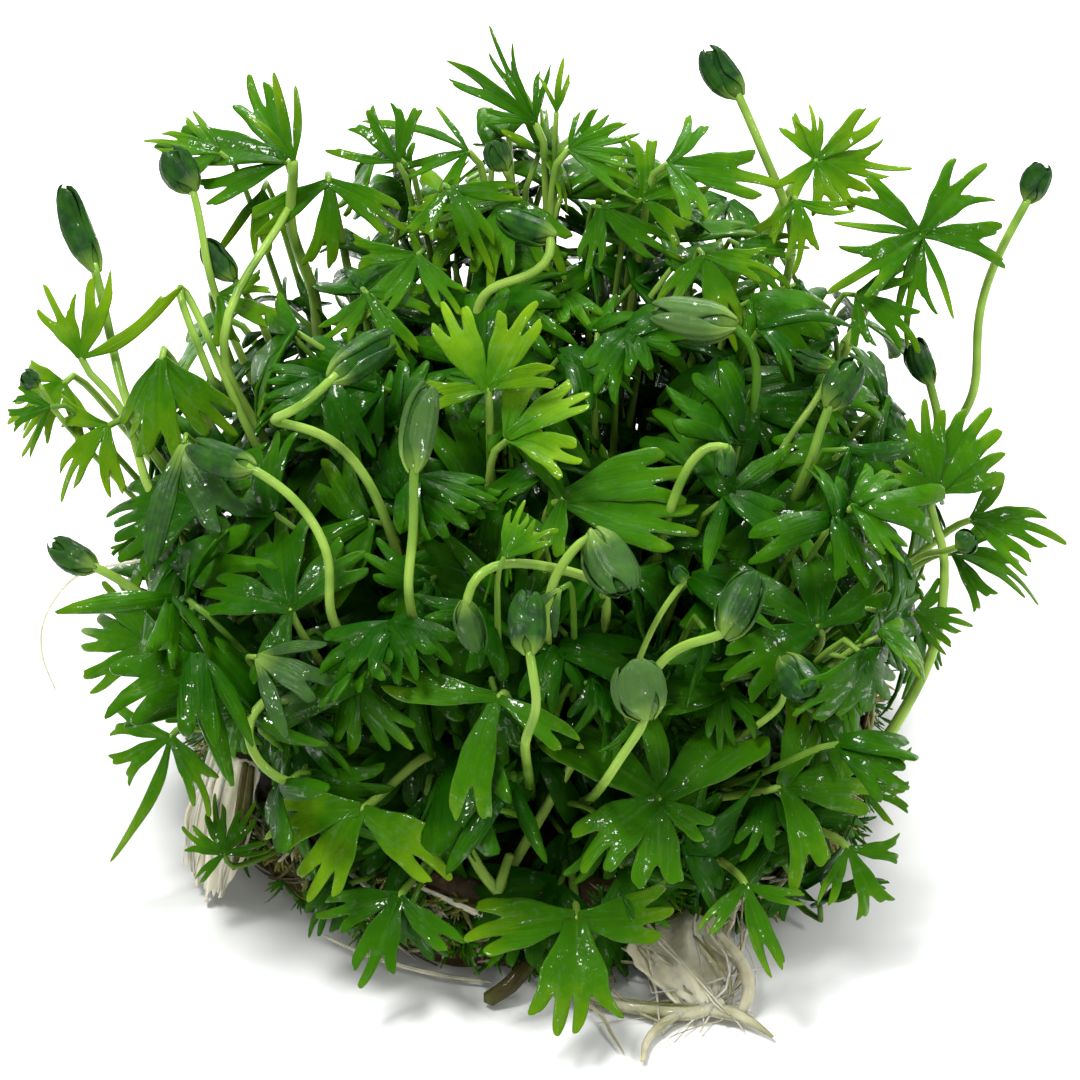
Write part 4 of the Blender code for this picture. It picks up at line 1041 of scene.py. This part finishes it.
def add_bud(growth, neck, tip, width, tint, chance):
    """Adds a folded young leaf: a core from neck to tip, and its lobes wrapped over one another round it."""
    ball = TEMPLATES["bud"]
    width *= BUD_SLIMNESS
    axis = np.array(tip - neck)
    length = np.linalg.norm(axis)
    axis = axis / length
    side = np.cross(axis, (0.2, -0.6, 0.75))
    side /= np.linalg.norm(side)
    other = np.cross(axis, side)
    ends, radii = zip(*BUD_PROFILE)
    hook = chance.uniform(0.0, 0.16)

    def placed(t, turn, radius):
        bow = length * (0.1 * np.sin(t * math.pi) - hook * np.clip(t - 0.6, 0, 1) * 2.5)
        return (
            np.array(neck)
            + (t * length)[:, None] * axis
            + (np.cos(turn) * radius)[:, None] * side
            + (np.sin(turn) * radius * BUD_FLATNESS + bow)[:, None] * other
        )

    t = np.arccos(np.clip(-ball.points[:, 2], -1, 1)) / math.pi * 0.97
    turn = np.arctan2(ball.points[:, 1], ball.points[:, 0])
    radius = np.interp(t / 0.97, ends, radii) * width / 2 * CORE_SHARE
    growth.add(placed(t, turn, radius), ball.faces, 0, t, CORE_SHADE, tint * 0.6, turn / math.pi)
    count = 3 if width < 3.3 else 4
    start = chance.uniform(0, 2 * math.pi)
    for layer in range(count):
        fingers = (3, 1, 1, 2)[layer] if width > 3.3 else (2, 1, 1)[layer]
        kind = (fingers, "broad" if width > 3.3 else "slender", int(chance.integers(VARIANTS)))
        template = TEMPLATES["fine"][kind]
        x, y, z = template.points.T
        top = np.abs(x).max()
        reach = chance.uniform(0.95, 1.05)
        t = 1 - (1 - np.clip(y / y.max(), 0, 1)) ** BUD_CLOSING
        t = t * reach
        wrap = (2 * math.pi / count) * WRAP_SHARE / 2
        lobe_turn = start + layer * 2 * math.pi / count + x / top * wrap + chance.uniform(-0.25, 0.25)
        radius = np.interp(np.clip(t / 1.05, 0, 1), ends, radii) * width / 2 * (0.9 + 0.1 * np.cos(x / top * 1.4))
        radius += z * length * 1.6 + 0.035 * width * (1 + x / top * (1 if layer % 2 else -1))
        rim = np.clip(1 - np.abs(z) / (0.9 * np.abs(z).max()), 0, 1)
        growth.add(placed(t, lobe_turn, radius), template.faces, 0, y, rim * 0.3, tint, x / top)


class BUTTERCUP_OT_young_leaves(bpy.types.Operator):
    """Models every folded young leaf, which nods on its bent stalk"""

    bl_idname = "buttercup.young_leaves"
    bl_label = "Young leaves"

    def execute(self, context):
        prepare()
        chance = np.random.default_rng(context.scene.buttercup_leaves.seed + 1)
        for row in YOUNG_LEAVES:
            growth = Growth()
            self.grow(growth, row, STALK_RADIUS, chance)
            make_piece(row.name + "_grown", growth, (MATERIALS["folded"], MATERIALS["stalk"]), [row.name])
        small = Growth()
        for row, radius in SMALL_YOUNG:
            self.grow(small, row, radius, chance)
        make_piece("small_folded_leaves", small, (MATERIALS["folded"], MATERIALS["stalk"]))
        return {"FINISHED"}

    def grow(self, growth, row, radius, chance):
        path = [seen_point(*spot) for spot in row.path]
        tip, neck = seen_point(*row.tip), path[-1]
        # The tint of a folded leaf sets how much painted silvery sheen it gets
        add_bud(growth, neck, tip, row.width, SILVERY.get(row.name, chance.uniform(0.0, 0.14)), chance)
        foot = foot_below(path[0])
        bow = path[0] * 0.5 + foot * 0.5 + Vector((path[0].x, path[0].y, 0)).normalized()
        curve = smooth_path([foot, bow, *path, neck + (tip - neck) * 0.12], 80)
        bend_tube(growth, TEMPLATES["long_stalk"], curve, [radius * share for share in (1.25, 1.0, 0.92, 0.88, 0.86)], 1,
                  STALK_TINTS.get(row.name, 0.9))
        ROOM.take([line_of_sight(path, reach=STALK_SIGHT), line_of_sight([neck, (neck + tip) / 2, tip], 2.5, STALK_SIGHT)])


INNER_GROUPS = 4
# A dark gap between the leaves: pixel and height of its middle, and its radius
HOLLOW = ((640, 425), 36, 6.5)
TRIES = 16
LOWEST = 1.2
# The edge of the crowd as it is seen: pixel row, and the pixels of its left and its right end there
CROWD_EDGE = (
    (90, 470, 560), (140, 385, 650), (180, 335, 730), (220, 330, 790), (260, 295, 800), (300, 260, 830),
    (340, 235, 850), (380, 205, 870), (420, 160, 925), (460, 135, 945), (500, 120, 950), (540, 112, 980),
    (580, 112, 965), (620, 100, 941), (660, 95, 930), (700, 125, 915), (740, 200, 900), (780, 256, 885),
    (860, 262, 865), (900, 285, 825), (940, 320, 770), (970, 470, 700),
)
# How high the outermost leaves of the crowd stand, by pixel row
CROWD_HEIGHTS = (
    (90, 55.5), (200, 51), (300, 48), (400, 45), (500, 41), (600, 36), (700, 29), (800, 20), (880, 11), (970, 3),
)
# How deep the crowd goes, in millimetres away from the camera
CROWD_DEPTH = 24.0
# The share of the leaves that fill the side turned away, and the room there: radii across, back and up, and squareness
REAR_SHARE = 0.34
REAR_RADII = (35.0, 28.5, 42.0)
REAR_BOXINESS = 0.75


def in_hollow(spot):
    """Whether a spot is in the dark gap or in front of it."""
    offset = spot - seen_point(HOLLOW[0], HOLLOW[1])
    ahead = offset.dot(TOWARD)
    return ahead > -5 and (offset - TOWARD * ahead).length < HOLLOW[2]


class BUTTERCUP_OT_inner_leaves(bpy.types.Operator):
    """Models the crowd of smaller leaves, each placed where no leaf has grown before"""

    bl_idname = "buttercup.inner_leaves"
    bl_label = "Inner leaves"

    def execute(self, context):
        prepare()
        settings = context.scene.buttercup_leaves
        chance = np.random.default_rng(settings.seed + 2)
        groups = [Growth() for _ in range(INNER_GROUPS)]
        for i in range(settings.inner_count):
            for _ in range(TRIES):
                hub, axes, lobes, tint = self.random_leaf(chance, settings.inner_length / MM, i / settings.inner_count)
                if hub.y > REAR_RADII[1]:
                    continue
                ends = self.ends(hub, axes, lobes)
                if min(end.z for end in ends) < LOWEST or in_hollow(hub) or any(self.is_outside(end) for end in ends):
                    continue
                sheets = claimed_sheets(lobes, hub, axes, 0.15, 0.35)
                if ROOM.is_free(sheets):
                    ROOM.take(sheets)
                    group = groups[i % INNER_GROUPS]
                    add_blade(group, TEMPLATES["coarse"], lobes, hub, axes, 0.15, 0.35, tint)
                    # The stalk takes the leaf's tint, and with it the painted light and shade of the leaf's place
                    add_leaf_stalk(group, TEMPLATES["thin_stalk"], hub, axes[1], axes[2], [], 0.3 + 0.7 * tint, 16, 0.36)
                    break
        for k, group in enumerate(groups):
            stands_for = ["leaf_tangle"] if k == 0 else []
            make_piece(f"inner_leaves_{k + 1}", group, (MATERIALS["blade"], MATERIALS["stalk"]), stands_for)
        return {"FINISHED"}

    def ends(self, hub, axes, lobes):
        """Where the lobes of a leaf end."""
        spots = []
        for lobe in lobes:
            way = Vector((lobe.sway, 1.0)) * lobe.length
            way.rotate(Matrix.Rotation(math.radians(lobe.angle), 2))
            spots.append(hub + axes[0] * way.x + axes[1] * way.y)
        return spots

    def random_leaf(self, chance, length, order):
        """One leaf of the crowd: its hub, axes, lobes and tint, the tint being painted light and shade by the leaf's
        place. The crowd is filled from outside in.
        """
        if chance.random() < REAR_SHARE:
            bearing = chance.uniform(-0.15, math.pi + 0.15)
            rise = math.asin(chance.uniform(0.0, 1.0))
            share = 1.0 - 0.5 * order + chance.uniform(-0.12, 0.06)
            out = Vector((math.cos(bearing), math.sin(bearing), 0))
            wide, deep, high = REAR_RADII
            slope, climb = math.cos(rise) ** REAR_BOXINESS, math.sin(rise) ** REAR_BOXINESS
            hub = Vector((out.x * wide, out.y * deep, 0)) * slope * share
            hub.z = PAD_HEIGHT - 1 + high * climb * share
            turned = 0.3
        else:
            while True:
                row, column = chance.uniform(90, 970), chance.uniform(90, 980)
                left, right = self.edge_at(row)
                if left < column < right:
                    break
            height = np.interp(row, *zip(*CROWD_HEIGHTS)) + chance.normal(0, 1.2)
            hub = seen_point((column, row), height) - TOWARD * (CROWD_DEPTH * order * chance.uniform(0.6, 1.0))
            out = Vector((hub.x, hub.y, 0)).normalized()
            climb = min(1.0, max(0.0, hub.z / 55))
            rise = math.asin(climb)
            turned = 0.3 + 1.1 * float(np.clip((300 - row) / 120, 0, 1))
        normal = out * math.cos(rise) * 0.7 + Vector((0, 0, 1)) * (math.sin(rise) * 0.6 + 0.4) + TOWARD * turned
        face = (normal.normalized() + Vector(chance.normal(0, 0.42, 3))).normalized()
        down = out * 0.8 - Vector((0, 0, 1)) * (1.2 - math.sin(rise)) + Vector(chance.normal(0, 0.7, 3))
        middle = (down - face * down.dot(face)).normalized()
        size = length * chance.uniform(0.75, 1.3)
        count = int(chance.choice((2, 3, 3, 3, 4, 5)))
        spread = chance.uniform(46, 62)
        cut = str(chance.choice(("broad", "broad", "plain")))
        rows = []
        for k in range(count):
            angle = (k - (count - 1) / 2) * spread + chance.uniform(-7, 7)
            rows.append((angle, size * chance.uniform(0.62, 1.1), int(chance.choice((1, 2, 2, 3, 3, 3)))))
        # Painted light and shade: leaves high in the crowd and at its sides get a paler tint, as if lit from behind,
        # and those placed later, deeper in the tangle, get a darker tint as painted shade
        column, row = pixel_of(hub)
        light = 0.1 + 0.42 * np.clip((360 - row) / 160, 0, 1) + 0.3 * np.clip((abs(column - 530) - 230) / 160, 0, 1)
        tint = float(np.clip(chance.normal(light, 0.13), 0, 0.75)) * (1 - 0.6 * order)
        return hub, (middle.cross(face), middle, face), grow_lobes(rows, cut, chance, 2.0, 1.15), tint

    def edge_at(self, row):
        rows, lefts, rights = zip(*CROWD_EDGE)
        return np.interp(row, rows, lefts), np.interp(row, rows, rights)

    def is_outside(self, spot):
        """Whether a spot of the near side would stick out of the crowd as it is seen."""
        column, row = pixel_of(spot)
        left, right = self.edge_at(row)
        return row < 80 or row > 985 or column < left - 8 or column > right + 8


class BUTTERCUP_OT_small_leaves(bpy.types.Operator):
    """Models the small leaves that stand between the larger ones"""

    bl_idname = "buttercup.small_leaves"
    bl_label = "Small leaves"

    def execute(self, context):
        prepare()
        chance = np.random.default_rng(context.scene.buttercup_leaves.seed + 3)
        growth = Growth()
        for row in SMALL_LEAVES:
            hub, axes = seen_point(row.seen, row.height), blade_axes(row.turn, row.lean)
            # The silvery leaves take the folded leaves' material, whose tint paints a silvery sheen
            silvery = row.name in SILVERY_LEAVES
            lobes = grow_lobes(row.lobes, "broad" if silvery else "slender", chance)
            tint = chance.uniform(0.35, 0.75)
            add_blade(growth, TEMPLATES["fine"], lobes, hub, axes, row.cup, row.droop, 0.45 * tint if silvery else tint,
                      2 if silvery else 0)
            add_leaf_stalk(growth, TEMPLATES["stalk"], hub, axes[1], axes[2], [], tint, 40, 0.34)
            ROOM.take(claimed_sheets(lobes, hub, axes, row.cup, row.droop) + lobe_sights(lobes, hub, axes))
        for row in STUBS:
            path = [seen_point(*spot) for spot in row]
            bend_tube(growth, TEMPLATES["stalk"], smooth_path(path, 30), (0.42, 0.46, 0.5), 1, 1.7)
            ROOM.take([line_of_sight(path)])
        materials = (MATERIALS["blade"], MATERIALS["stalk"], MATERIALS["folded"])
        make_piece("small_leaves", growth, materials)
        return {"FINISHED"}


# Shoots on the pad's side, and how dark its body is
SHOOTS = 460
CORE_TINT = -0.1


# Share of the tiny shoots that are brown and mossy
MOSSY_SHARE = 0.4
# Share of them that stand on the pad's upper edge
SHOULDER_SHARE = 0.3


class BUTTERCUP_OT_root_pad(bpy.types.Operator):
    """Models the pad of matted roots"""

    bl_idname = "buttercup.root_pad"
    bl_label = "Root pad"

    def execute(self, context):
        prepare()
        settings = context.scene.buttercup_roots
        chance = np.random.default_rng(41)
        growth = Growth()
        self.add_core(growth)
        for i in range(settings.count):
            path = self.side_root(chance)
            radius = settings.radius / MM * chance.uniform(0.7, 1.7)
            bend_tube(growth, TEMPLATES["root"], path, (radius * 0.6, radius, radius, radius * 0.5), 0,
                      chance.random() ** 2.6)
        for i in range(SHOOTS):
            self.add_shoot(growth, chance)
        make_piece("root_pad_grown", growth, (MATERIALS["root"], MATERIALS["blade"]), ["root_pad"])
        return {"FINISHED"}

    def add_shoot(self, growth, chance):
        """One of the tiny shoots that make the pad's side mossy."""
        bearing = chance.uniform(0, 2 * math.pi)
        out = Vector((math.cos(bearing), math.sin(bearing), 0))
        root = out * (PAD_TOP_RADIUS - 0.9)
        root.z = chance.uniform(2.0, 9.5)
        length = chance.uniform(1.6, 3.6)
        root.z = max(root.z, 1.5 + length * 0.4)
        if chance.random() < SHOULDER_SHARE:
            root = out * chance.uniform(21, PAD_TOP_RADIUS - 1.6)
            root.z = PAD_HEIGHT - 0.8
        face = (out * 0.5 + Vector((0, 0, 0.8)) + Vector(chance.normal(0, 0.5, 3))).normalized()
        ahead = out + Vector(chance.normal(0, 0.6, 3))
        middle = (ahead - face * ahead.dot(face)).normalized()
        rows = [(angle + chance.uniform(-8, 8), length * chance.uniform(0.7, 1), int(chance.choice((1, 2, 3))))
                for angle in (-48, 0, 48)]
        axes = (middle.cross(face), middle, face)
        lobes = grow_lobes(rows, "slender", chance, 1.5)
        span = max(lobe.length for lobe in lobes)
        slot, tint = (0, chance.uniform(0.3, 0.6)) if chance.random() < MOSSY_SHARE else (1, chance.uniform(0.0, 0.5))
        for lobe in lobes:
            template = TEMPLATES["coarse"][lobe.kind]
            points = bent_lobe(template, lobe, span, root, axes, 0.1, 0.2)
            growth.add(points, template.faces, slot, template.points[:, 1], 0.2, tint, 0.5)

    def add_core(self, growth):
        """The pad's body, a cylinder with lumps."""
        deselect()
        bpy.ops.mesh.primitive_cylinder_add(vertices=72, radius=PAD_TOP_RADIUS - 1.3, depth=PAD_HEIGHT - 1.1,
                                            end_fill_type="TRIFAN", location=(0, 0, 0))
        obj = bpy.context.object
        bpy.ops.object.mode_set(mode="EDIT")
        bpy.ops.mesh.select_all(action="SELECT")
        bpy.ops.mesh.subdivide(number_cuts=4)
        bpy.ops.object.mode_set(mode="OBJECT")
        part = taken_apart(obj)
        points = part.points.copy()
        bearing = np.arctan2(points[:, 1], points[:, 0])
        out = np.hypot(points[:, 0], points[:, 1])
        lump = 0.5 * np.sin(9 * bearing + points[:, 2]) * np.sin(5 * bearing - 0.7 * points[:, 2])
        lump += 0.35 * np.sin(23 * bearing + 1.7 * points[:, 2])
        share = out / out.max()
        points[:, :2] *= (1 + (lump - 0.4) * share**3 / PAD_TOP_RADIUS)[:, None]
        top = points[:, 2] > 0
        points[:, 2] += np.where(top, 0.7 * np.sin(points[:, 0] * 0.9) * np.sin(points[:, 1] * 0.8), 0)
        points[:, 2] += (PAD_HEIGHT - 1.1) / 2 + 0.5
        growth.add(points, part.faces, 0, 0.5, 0.0, CORE_TINT, bearing * 3)

    def side_root(self, chance):
        """The path of one root that runs round and down the pad's side."""
        bearing = chance.uniform(0, 2 * math.pi)
        sweep = chance.normal(0, 0.35)
        high, low = chance.uniform(3, 9), chance.uniform(0.5, 5)
        wiggle = chance.uniform(0, 6.3)
        spots = []
        for k in range(7):
            t = k / 6
            a = bearing + sweep * t + 0.02 * math.sin(5 * t + wiggle)
            z = high + (low - high) * t + 0.5 * math.sin(7 * t + wiggle)
            r = PAD_TOP_RADIUS - 1.1 + 0.5 * math.sin(4 * t + wiggle) - 0.03 * (9 - z)
            spots.append(Vector((r * math.cos(a), r * math.sin(a), max(z, 0.45))))
        return smooth_path(spots, 15)


# Thicker roots of the bundle at the right: points in millimetres, and radii along them
RIGHT_ROOTS = [
    ([(1.0, -29.6, 3.0), (4.6, -32.2, 1.3), (9.0, -33.4, 1.0), (13.0, -34.2, 1.2), (15.4, -33.4, 1.8)],
     (0.5, 0.75, 0.85, 0.95, 0.7)),
    ([(12.0, -34.0, 1.2), (10.4, -35.2, 1.0), (9.0, -37.2, 0.8), (8.6, -39.6, 0.6)], (0.6, 0.62, 0.5, 0.3)),
    ([(13.6, -33.6, 1.4), (16.6, -34.4, 1.2), (18.2, -35.4, 1.0), (19.6, -36.6, 0.7)], (0.9, 0.95, 0.6, 0.2)),
    ([(15.0, -28.6, 5.4), (17.0, -30.6, 4.0), (17.6, -32.6, 2.4), (17.0, -34.0, 1.2)], (0.5, 0.7, 0.9, 0.7)),
    ([(8.4, -29.6, 4.6), (10.4, -31.4, 2.8), (11.6, -33.0, 1.6), (12.2, -34.0, 1.2)], (0.3, 0.34, 0.34, 0.3)),
    ([(3.6, -32.4, 1.2), (5.2, -34.0, 0.8), (6.0, -36.0, 0.6), (7.0, -38.2, 0.35)], (0.3, 0.28, 0.22, 0.12)),
    ([(6.0, -31.6, 1.8), (8.4, -33.8, 1.0), (10.8, -35.0, 0.7)], (0.2, 0.22, 0.18)),
]
RIGHT_STRANDS = 34
# Where its fine roots end
RIGHT_ENDS = [(8.6, -32.6, 0.8), (4.6, -32.4, 0.8), (17.8, -34.2, 0.9), (10.8, -36.2, 0.6), (17.4, -30.6, 2.2), (12.6, -34.8, 0.6)]


class BUTTERCUP_OT_loose_roots(bpy.types.Operator):
    """Models the bundles of pale roots that hang from the pad and lie beside it"""

    bl_idname = "buttercup.loose_roots"
    bl_label = "Loose roots"

    def execute(self, context):
        prepare()
        chance = np.random.default_rng(77)
        left = Growth()
        self.add_root_sheet(left, self.left_point, 0.95)
        for u, reach in ((0.55, 0.5), (0.8, 0.75)):
            path = smooth_path([self.left_point(u + 0.05 * v, v * reach, 0.5) for v in (0.0, 0.3, 0.7, 1.0)], 26)
            bend_tube(left, TEMPLATES["stalk"], path, (0.3, 0.42, 0.4, 0.2), 0, -0.25)
        for i in range(14):
            u = chance.uniform(-1, 1)
            path = smooth_path([self.left_point(u + chance.normal(0, 0.1), v, 0.25) for v in (0.02, 0.3, 0.6, 0.98)], 15)
            radius = chance.uniform(0.1, 0.2)
            bend_tube(left, TEMPLATES["root"], path, (radius, radius * 1.1, radius * 0.6), 0, chance.uniform(0.45, 1))
        ROOM.take([line_of_sight([self.left_point(u, v) for v in (0.1, 0.5, 0.95)], 1.0, 12.0) for u in (-0.8, 0, 0.8)])
        make_piece("root_tuft_left_grown", left, (MATERIALS["pale_root"],), ["root_tuft_left"])
        right = Growth()
        for spots, radii in RIGHT_ROOTS:
            path = smooth_path([Vector(spot) for spot in spots], 24)
            bend_tube(right, TEMPLATES["thick_root"], path, [radius * 0.68 for radius in radii], 0, 0.35)
        self.add_root_sheet(right, self.right_point, 0.5)
        for i in range(RIGHT_STRANDS):
            self.add_right_strand(right, chance)
        ROOM.take([line_of_sight([self.right_point(u, v) for v in (0.1, 0.5, 0.95)], 1.0, 12.0) for u in (-0.8, 0, 0.8)])
        make_piece("root_tuft_right_grown", right, (MATERIALS["pale_root"],), ["root_tuft_right"])
        rim = Growth()
        spots = [Vector((math.cos(a) * 29.9, math.sin(a) * 29.9, 0.8)) for a in
                 (math.radians(d) for d in range(232, 263, 6))]
        bend_tube(rim, TEMPLATES["stalk"], smooth_path(spots, 30), (0.12, 0.22, 0.22, 0.12), 0, 0.55)
        make_piece("rim_root_grown", rim, (MATERIALS["pale_root"],), ["rim_root"])
        hanging = Growth()
        spots = [seen_point(*spot) for spot in (((150, 560), 27), ((90, 573), 26), ((56, 612), 22), ((50, 650), 18),
                                                ((63, 688), 14))]
        bend_tube(hanging, TEMPLATES["stalk"], smooth_path(spots, 30), (0.16, 0.14, 0.12, 0.08), 0, 0.9)
        make_piece("hanging_root", hanging, (MATERIALS["pale_root"],))
        return {"FINISHED"}

    def left_point(self, u, v, proud=0.0):
        """A point of the papery sheet of roots: u from -1 to 1 across it, and v from its top to the table."""
        top = Vector((-26.0, -14.0, 13.0)) + Vector((2.0, -2.0, 0)) * u
        waist = Vector((-27.6, -16.6, 6.6)) + Vector((3.0, -2.6, 0)) * u
        foot = Vector((-28.4, -18.2, 0.9)) + Vector((1.9, -1.5, 0)) * u + Vector((0, 0, 1.6)) * abs(u)
        spot = top * (1 - v) ** 2 + waist * 2 * v * (1 - v) + foot * v**2
        pleat = 0.42 * math.sin(3.4 * u + 1.2 * math.sin(2.4 * v + 1) + 0.8)
        pleat += 0.2 * math.sin(9 * u + 1.5 * math.sin(3.1 * v)) * (0.4 + v) + 0.1 * math.sin(21 * u + 5 * math.sin(2 * v + u))
        return spot + Vector((-0.5, -0.8, 0.2)).normalized() * (pleat + proud)

    def right_point(self, u, v, proud=0.0):
        """A point of the sheet that joins the roots of the bundle at the right."""
        bearing = math.radians(296 + 13 * u)
        top = Vector((math.cos(bearing) * 28.2, math.sin(bearing) * 28.2, 5.4 - abs(u)))
        foot = Vector((13.4 + 2.3 * u, -33.5 + 0.5 * u * u, 1.3))
        spot = top.lerp(foot, v) + Vector((-0.5, -1.0, 0.8)) * math.sin(v * math.pi)
        pleat = 0.45 * math.sin(5.2 * u + 1.5 * math.sin(3 * v)) + 0.2 * math.sin(13 * u + 2.2 * math.sin(4 * v + u))
        return spot + Vector((0.1, -0.7, 0.7)) * (pleat + proud)

    def add_root_sheet(self, growth, point, tint):
        """Roots that have grown into one thin pleated sheet."""
        deselect()
        bpy.ops.mesh.primitive_grid_add(x_subdivisions=56, y_subdivisions=24, size=2)
        obj = bpy.context.object
        for vertex in obj.data.vertices:
            u, v = vertex.co.x, (1 - vertex.co.y) / 2
            ragged = 1 + (0.06 * math.sin(17 * u) + 0.05 * math.sin(7 * u + 1)) * v
            across = u * (0.84 + 0.1 * math.sin(2.2 * v + 1) + 0.06 * math.sin(9 * v + 2 * u) + 0.03 * math.sin(31 * v))
            vertex.co = point(across, min(v * ragged, 1.05))
            vertex.co.z = max(vertex.co.z, 0.3)
        apply_modifier(obj, "SOLIDIFY", thickness=0.25, offset=0)
        part = taken_apart(obj)
        growth.add(part.points, part.faces, 0, 0.5, 0.0, tint, 0.0)

    def add_right_strand(self, growth, chance):
        """One fine root of the bundle, from the pad's edge to where the bundle meets the table."""
        bearing = math.radians(chance.uniform(280, 312))
        top = Vector((math.cos(bearing), math.sin(bearing), 0)) * 28.6
        top.z = chance.uniform(1.5, 7.0)
        meet = Vector((chance.normal(13.8, 1.9), chance.normal(-33.0, 0.9), chance.uniform(0.5, 2.4)))
        first = top.lerp(meet, 0.3) + Vector((chance.normal(0.6, 0.9), chance.normal(-0.9, 0.6), chance.normal(0.8, 0.5)))
        second = top.lerp(meet, 0.7) + Vector((chance.normal(0.4, 0.9), chance.normal(-0.6, 0.6), chance.normal(0.5, 0.4)))
        tail = Vector(RIGHT_ENDS[chance.choice(len(RIGHT_ENDS))]) + Vector(chance.normal(0, 0.7, 3))
        wiggle = meet.lerp(tail, 0.5) + Vector((*chance.normal(0, 0.6, 2), 0.2))
        spots = [top, first, second, meet, wiggle, tail]
        for spot in spots:
            spot.z = max(spot.z, 0.35)
        radius = chance.uniform(0.07, 0.16)
        bend_tube(growth, TEMPLATES["root"], smooth_path(spots, 15), (radius, radius, radius * 0.5), 0,
                  chance.uniform(0.15, 0.75))


class BUTTERCUP_OT_dead_stalk(bpy.types.Operator):
    """Models the brown stub of a dead stalk at the pad's front edge"""

    bl_idname = "buttercup.dead_stalk"
    bl_label = "Dead stalk"

    def execute(self, context):
        prepare()
        growth = Growth()
        spots = [Vector((-0.2, -29.2, 3.8)), Vector((-2.4, -31.2, 2.0)), Vector((-4.4, -32.0, 0.9))]
        bend_tube(growth, TEMPLATES["stalk"], smooth_path(spots, 20), (0.5, 0.75, 0.8, 0.7), 0, 0.1)
        make_piece("dead_stalk_grown", growth, (MATERIALS["root"],), ["dead_stalk"])
        return {"FINISHED"}


class BUTTERCUP_OT_stage(bpy.types.Operator):
    """Sets the pale floor, the soft lights and the camera"""

    bl_idname = "buttercup.stage"
    bl_label = "Stage"

    def execute(self, context):
        deselect()
        bpy.ops.mesh.primitive_plane_add(size=4, location=(0, 0, 0))
        floor = context.object
        floor.name = "floor"
        material, tree, shader = new_material("floor_card", 0.8)
        colour = blend_colours(tree, mottle(tree, 3), (0.86, 0.87, 0.86), (0.88, 0.88, 0.87))
        tree.links.new(colour, shader.inputs["Base Color"])
        floor.data.materials.append(material)
        scene = context.scene
        world = bpy.data.worlds.new("studio")
        world.use_nodes = True
        world.node_tree.nodes["Background"].inputs["Color"].default_value = (1, 1, 1, 1)
        world.node_tree.nodes["Background"].inputs["Strength"].default_value = 0.62
        scene.world = world
        self.add_light("key", (-0.25, -0.15, 0.75), 0.2, 6.2)
        self.add_light("fill", (0.5, -0.35, 0.5), 0.16, 2.0)
        self.add_light("back", (0.1, 0.5, 0.5), 0.25, 6.0)
        aim = UP * (MIDDLE_PIXEL[1] - PHOTO_SIDE / 2) * PIXEL * MM
        bpy.ops.object.camera_add(location=aim + TOWARD * CAMERA_DISTANCE)
        camera = context.object
        camera.rotation_mode = "QUATERNION"
        camera.rotation_quaternion = (-TOWARD).to_track_quat("-Z", "Y")
        camera.data.sensor_width = 36
        camera.data.lens = 36 * CAMERA_DISTANCE / (PHOTO_SIDE * PIXEL * MM)
        camera.data.clip_start = 0.05
        scene.camera = camera
        scene.view_settings.view_transform = "Standard"
        return {"FINISHED"}

    def add_light(self, name, place, size, power):
        bpy.ops.object.light_add(type="AREA", location=place)
        light = bpy.context.object
        light.name = name
        light.data.size = size
        light.data.energy = power
        light.rotation_mode = "QUATERNION"
        light.rotation_quaternion = (-Vector(place)).to_track_quat("-Z", "Y")


STEPS = (
    BUTTERCUP_OT_root_pad,
    BUTTERCUP_OT_loose_roots,
    BUTTERCUP_OT_dead_stalk,
    BUTTERCUP_OT_opened_leaves,
    BUTTERCUP_OT_young_leaves,
    BUTTERCUP_OT_small_leaves,
    BUTTERCUP_OT_inner_leaves,
    BUTTERCUP_OT_stage,
)


class BUTTERCUP_PT_panel(bpy.types.Panel):
    """Lists the clump's settings and steps"""

    bl_label = "River buttercup"
    bl_idname = "BUTTERCUP_PT_panel"
    bl_space_type = "VIEW_3D"
    bl_region_type = "UI"
    bl_category = "River buttercup"

    def draw(self, context):
        for settings in (context.scene.buttercup_leaves, context.scene.buttercup_roots):
            box = self.layout.box()
            for key in settings.bl_rna.properties.keys():
                if key not in ("rna_type", "name"):
                    box.prop(settings, key)
        for step in STEPS:
            self.layout.operator(step.bl_idname)


CLASSES = (LeafSettings, RootSettings, *STEPS, BUTTERCUP_PT_panel)


def register():
    for item in CLASSES:
        bpy.utils.register_class(item)
    bpy.types.Scene.buttercup_leaves = PointerProperty(type=LeafSettings)
    bpy.types.Scene.buttercup_roots = PointerProperty(type=RootSettings)


def unregister():
    del bpy.types.Scene.buttercup_leaves
    del bpy.types.Scene.buttercup_roots
    for item in reversed(CLASSES):
        bpy.utils.unregister_class(item)


def main():
    register()
    for step in STEPS:
        group, name = step.bl_idname.split(".")
        getattr(getattr(bpy.ops, group), name)()


if __name__ == "__main__":
    main()
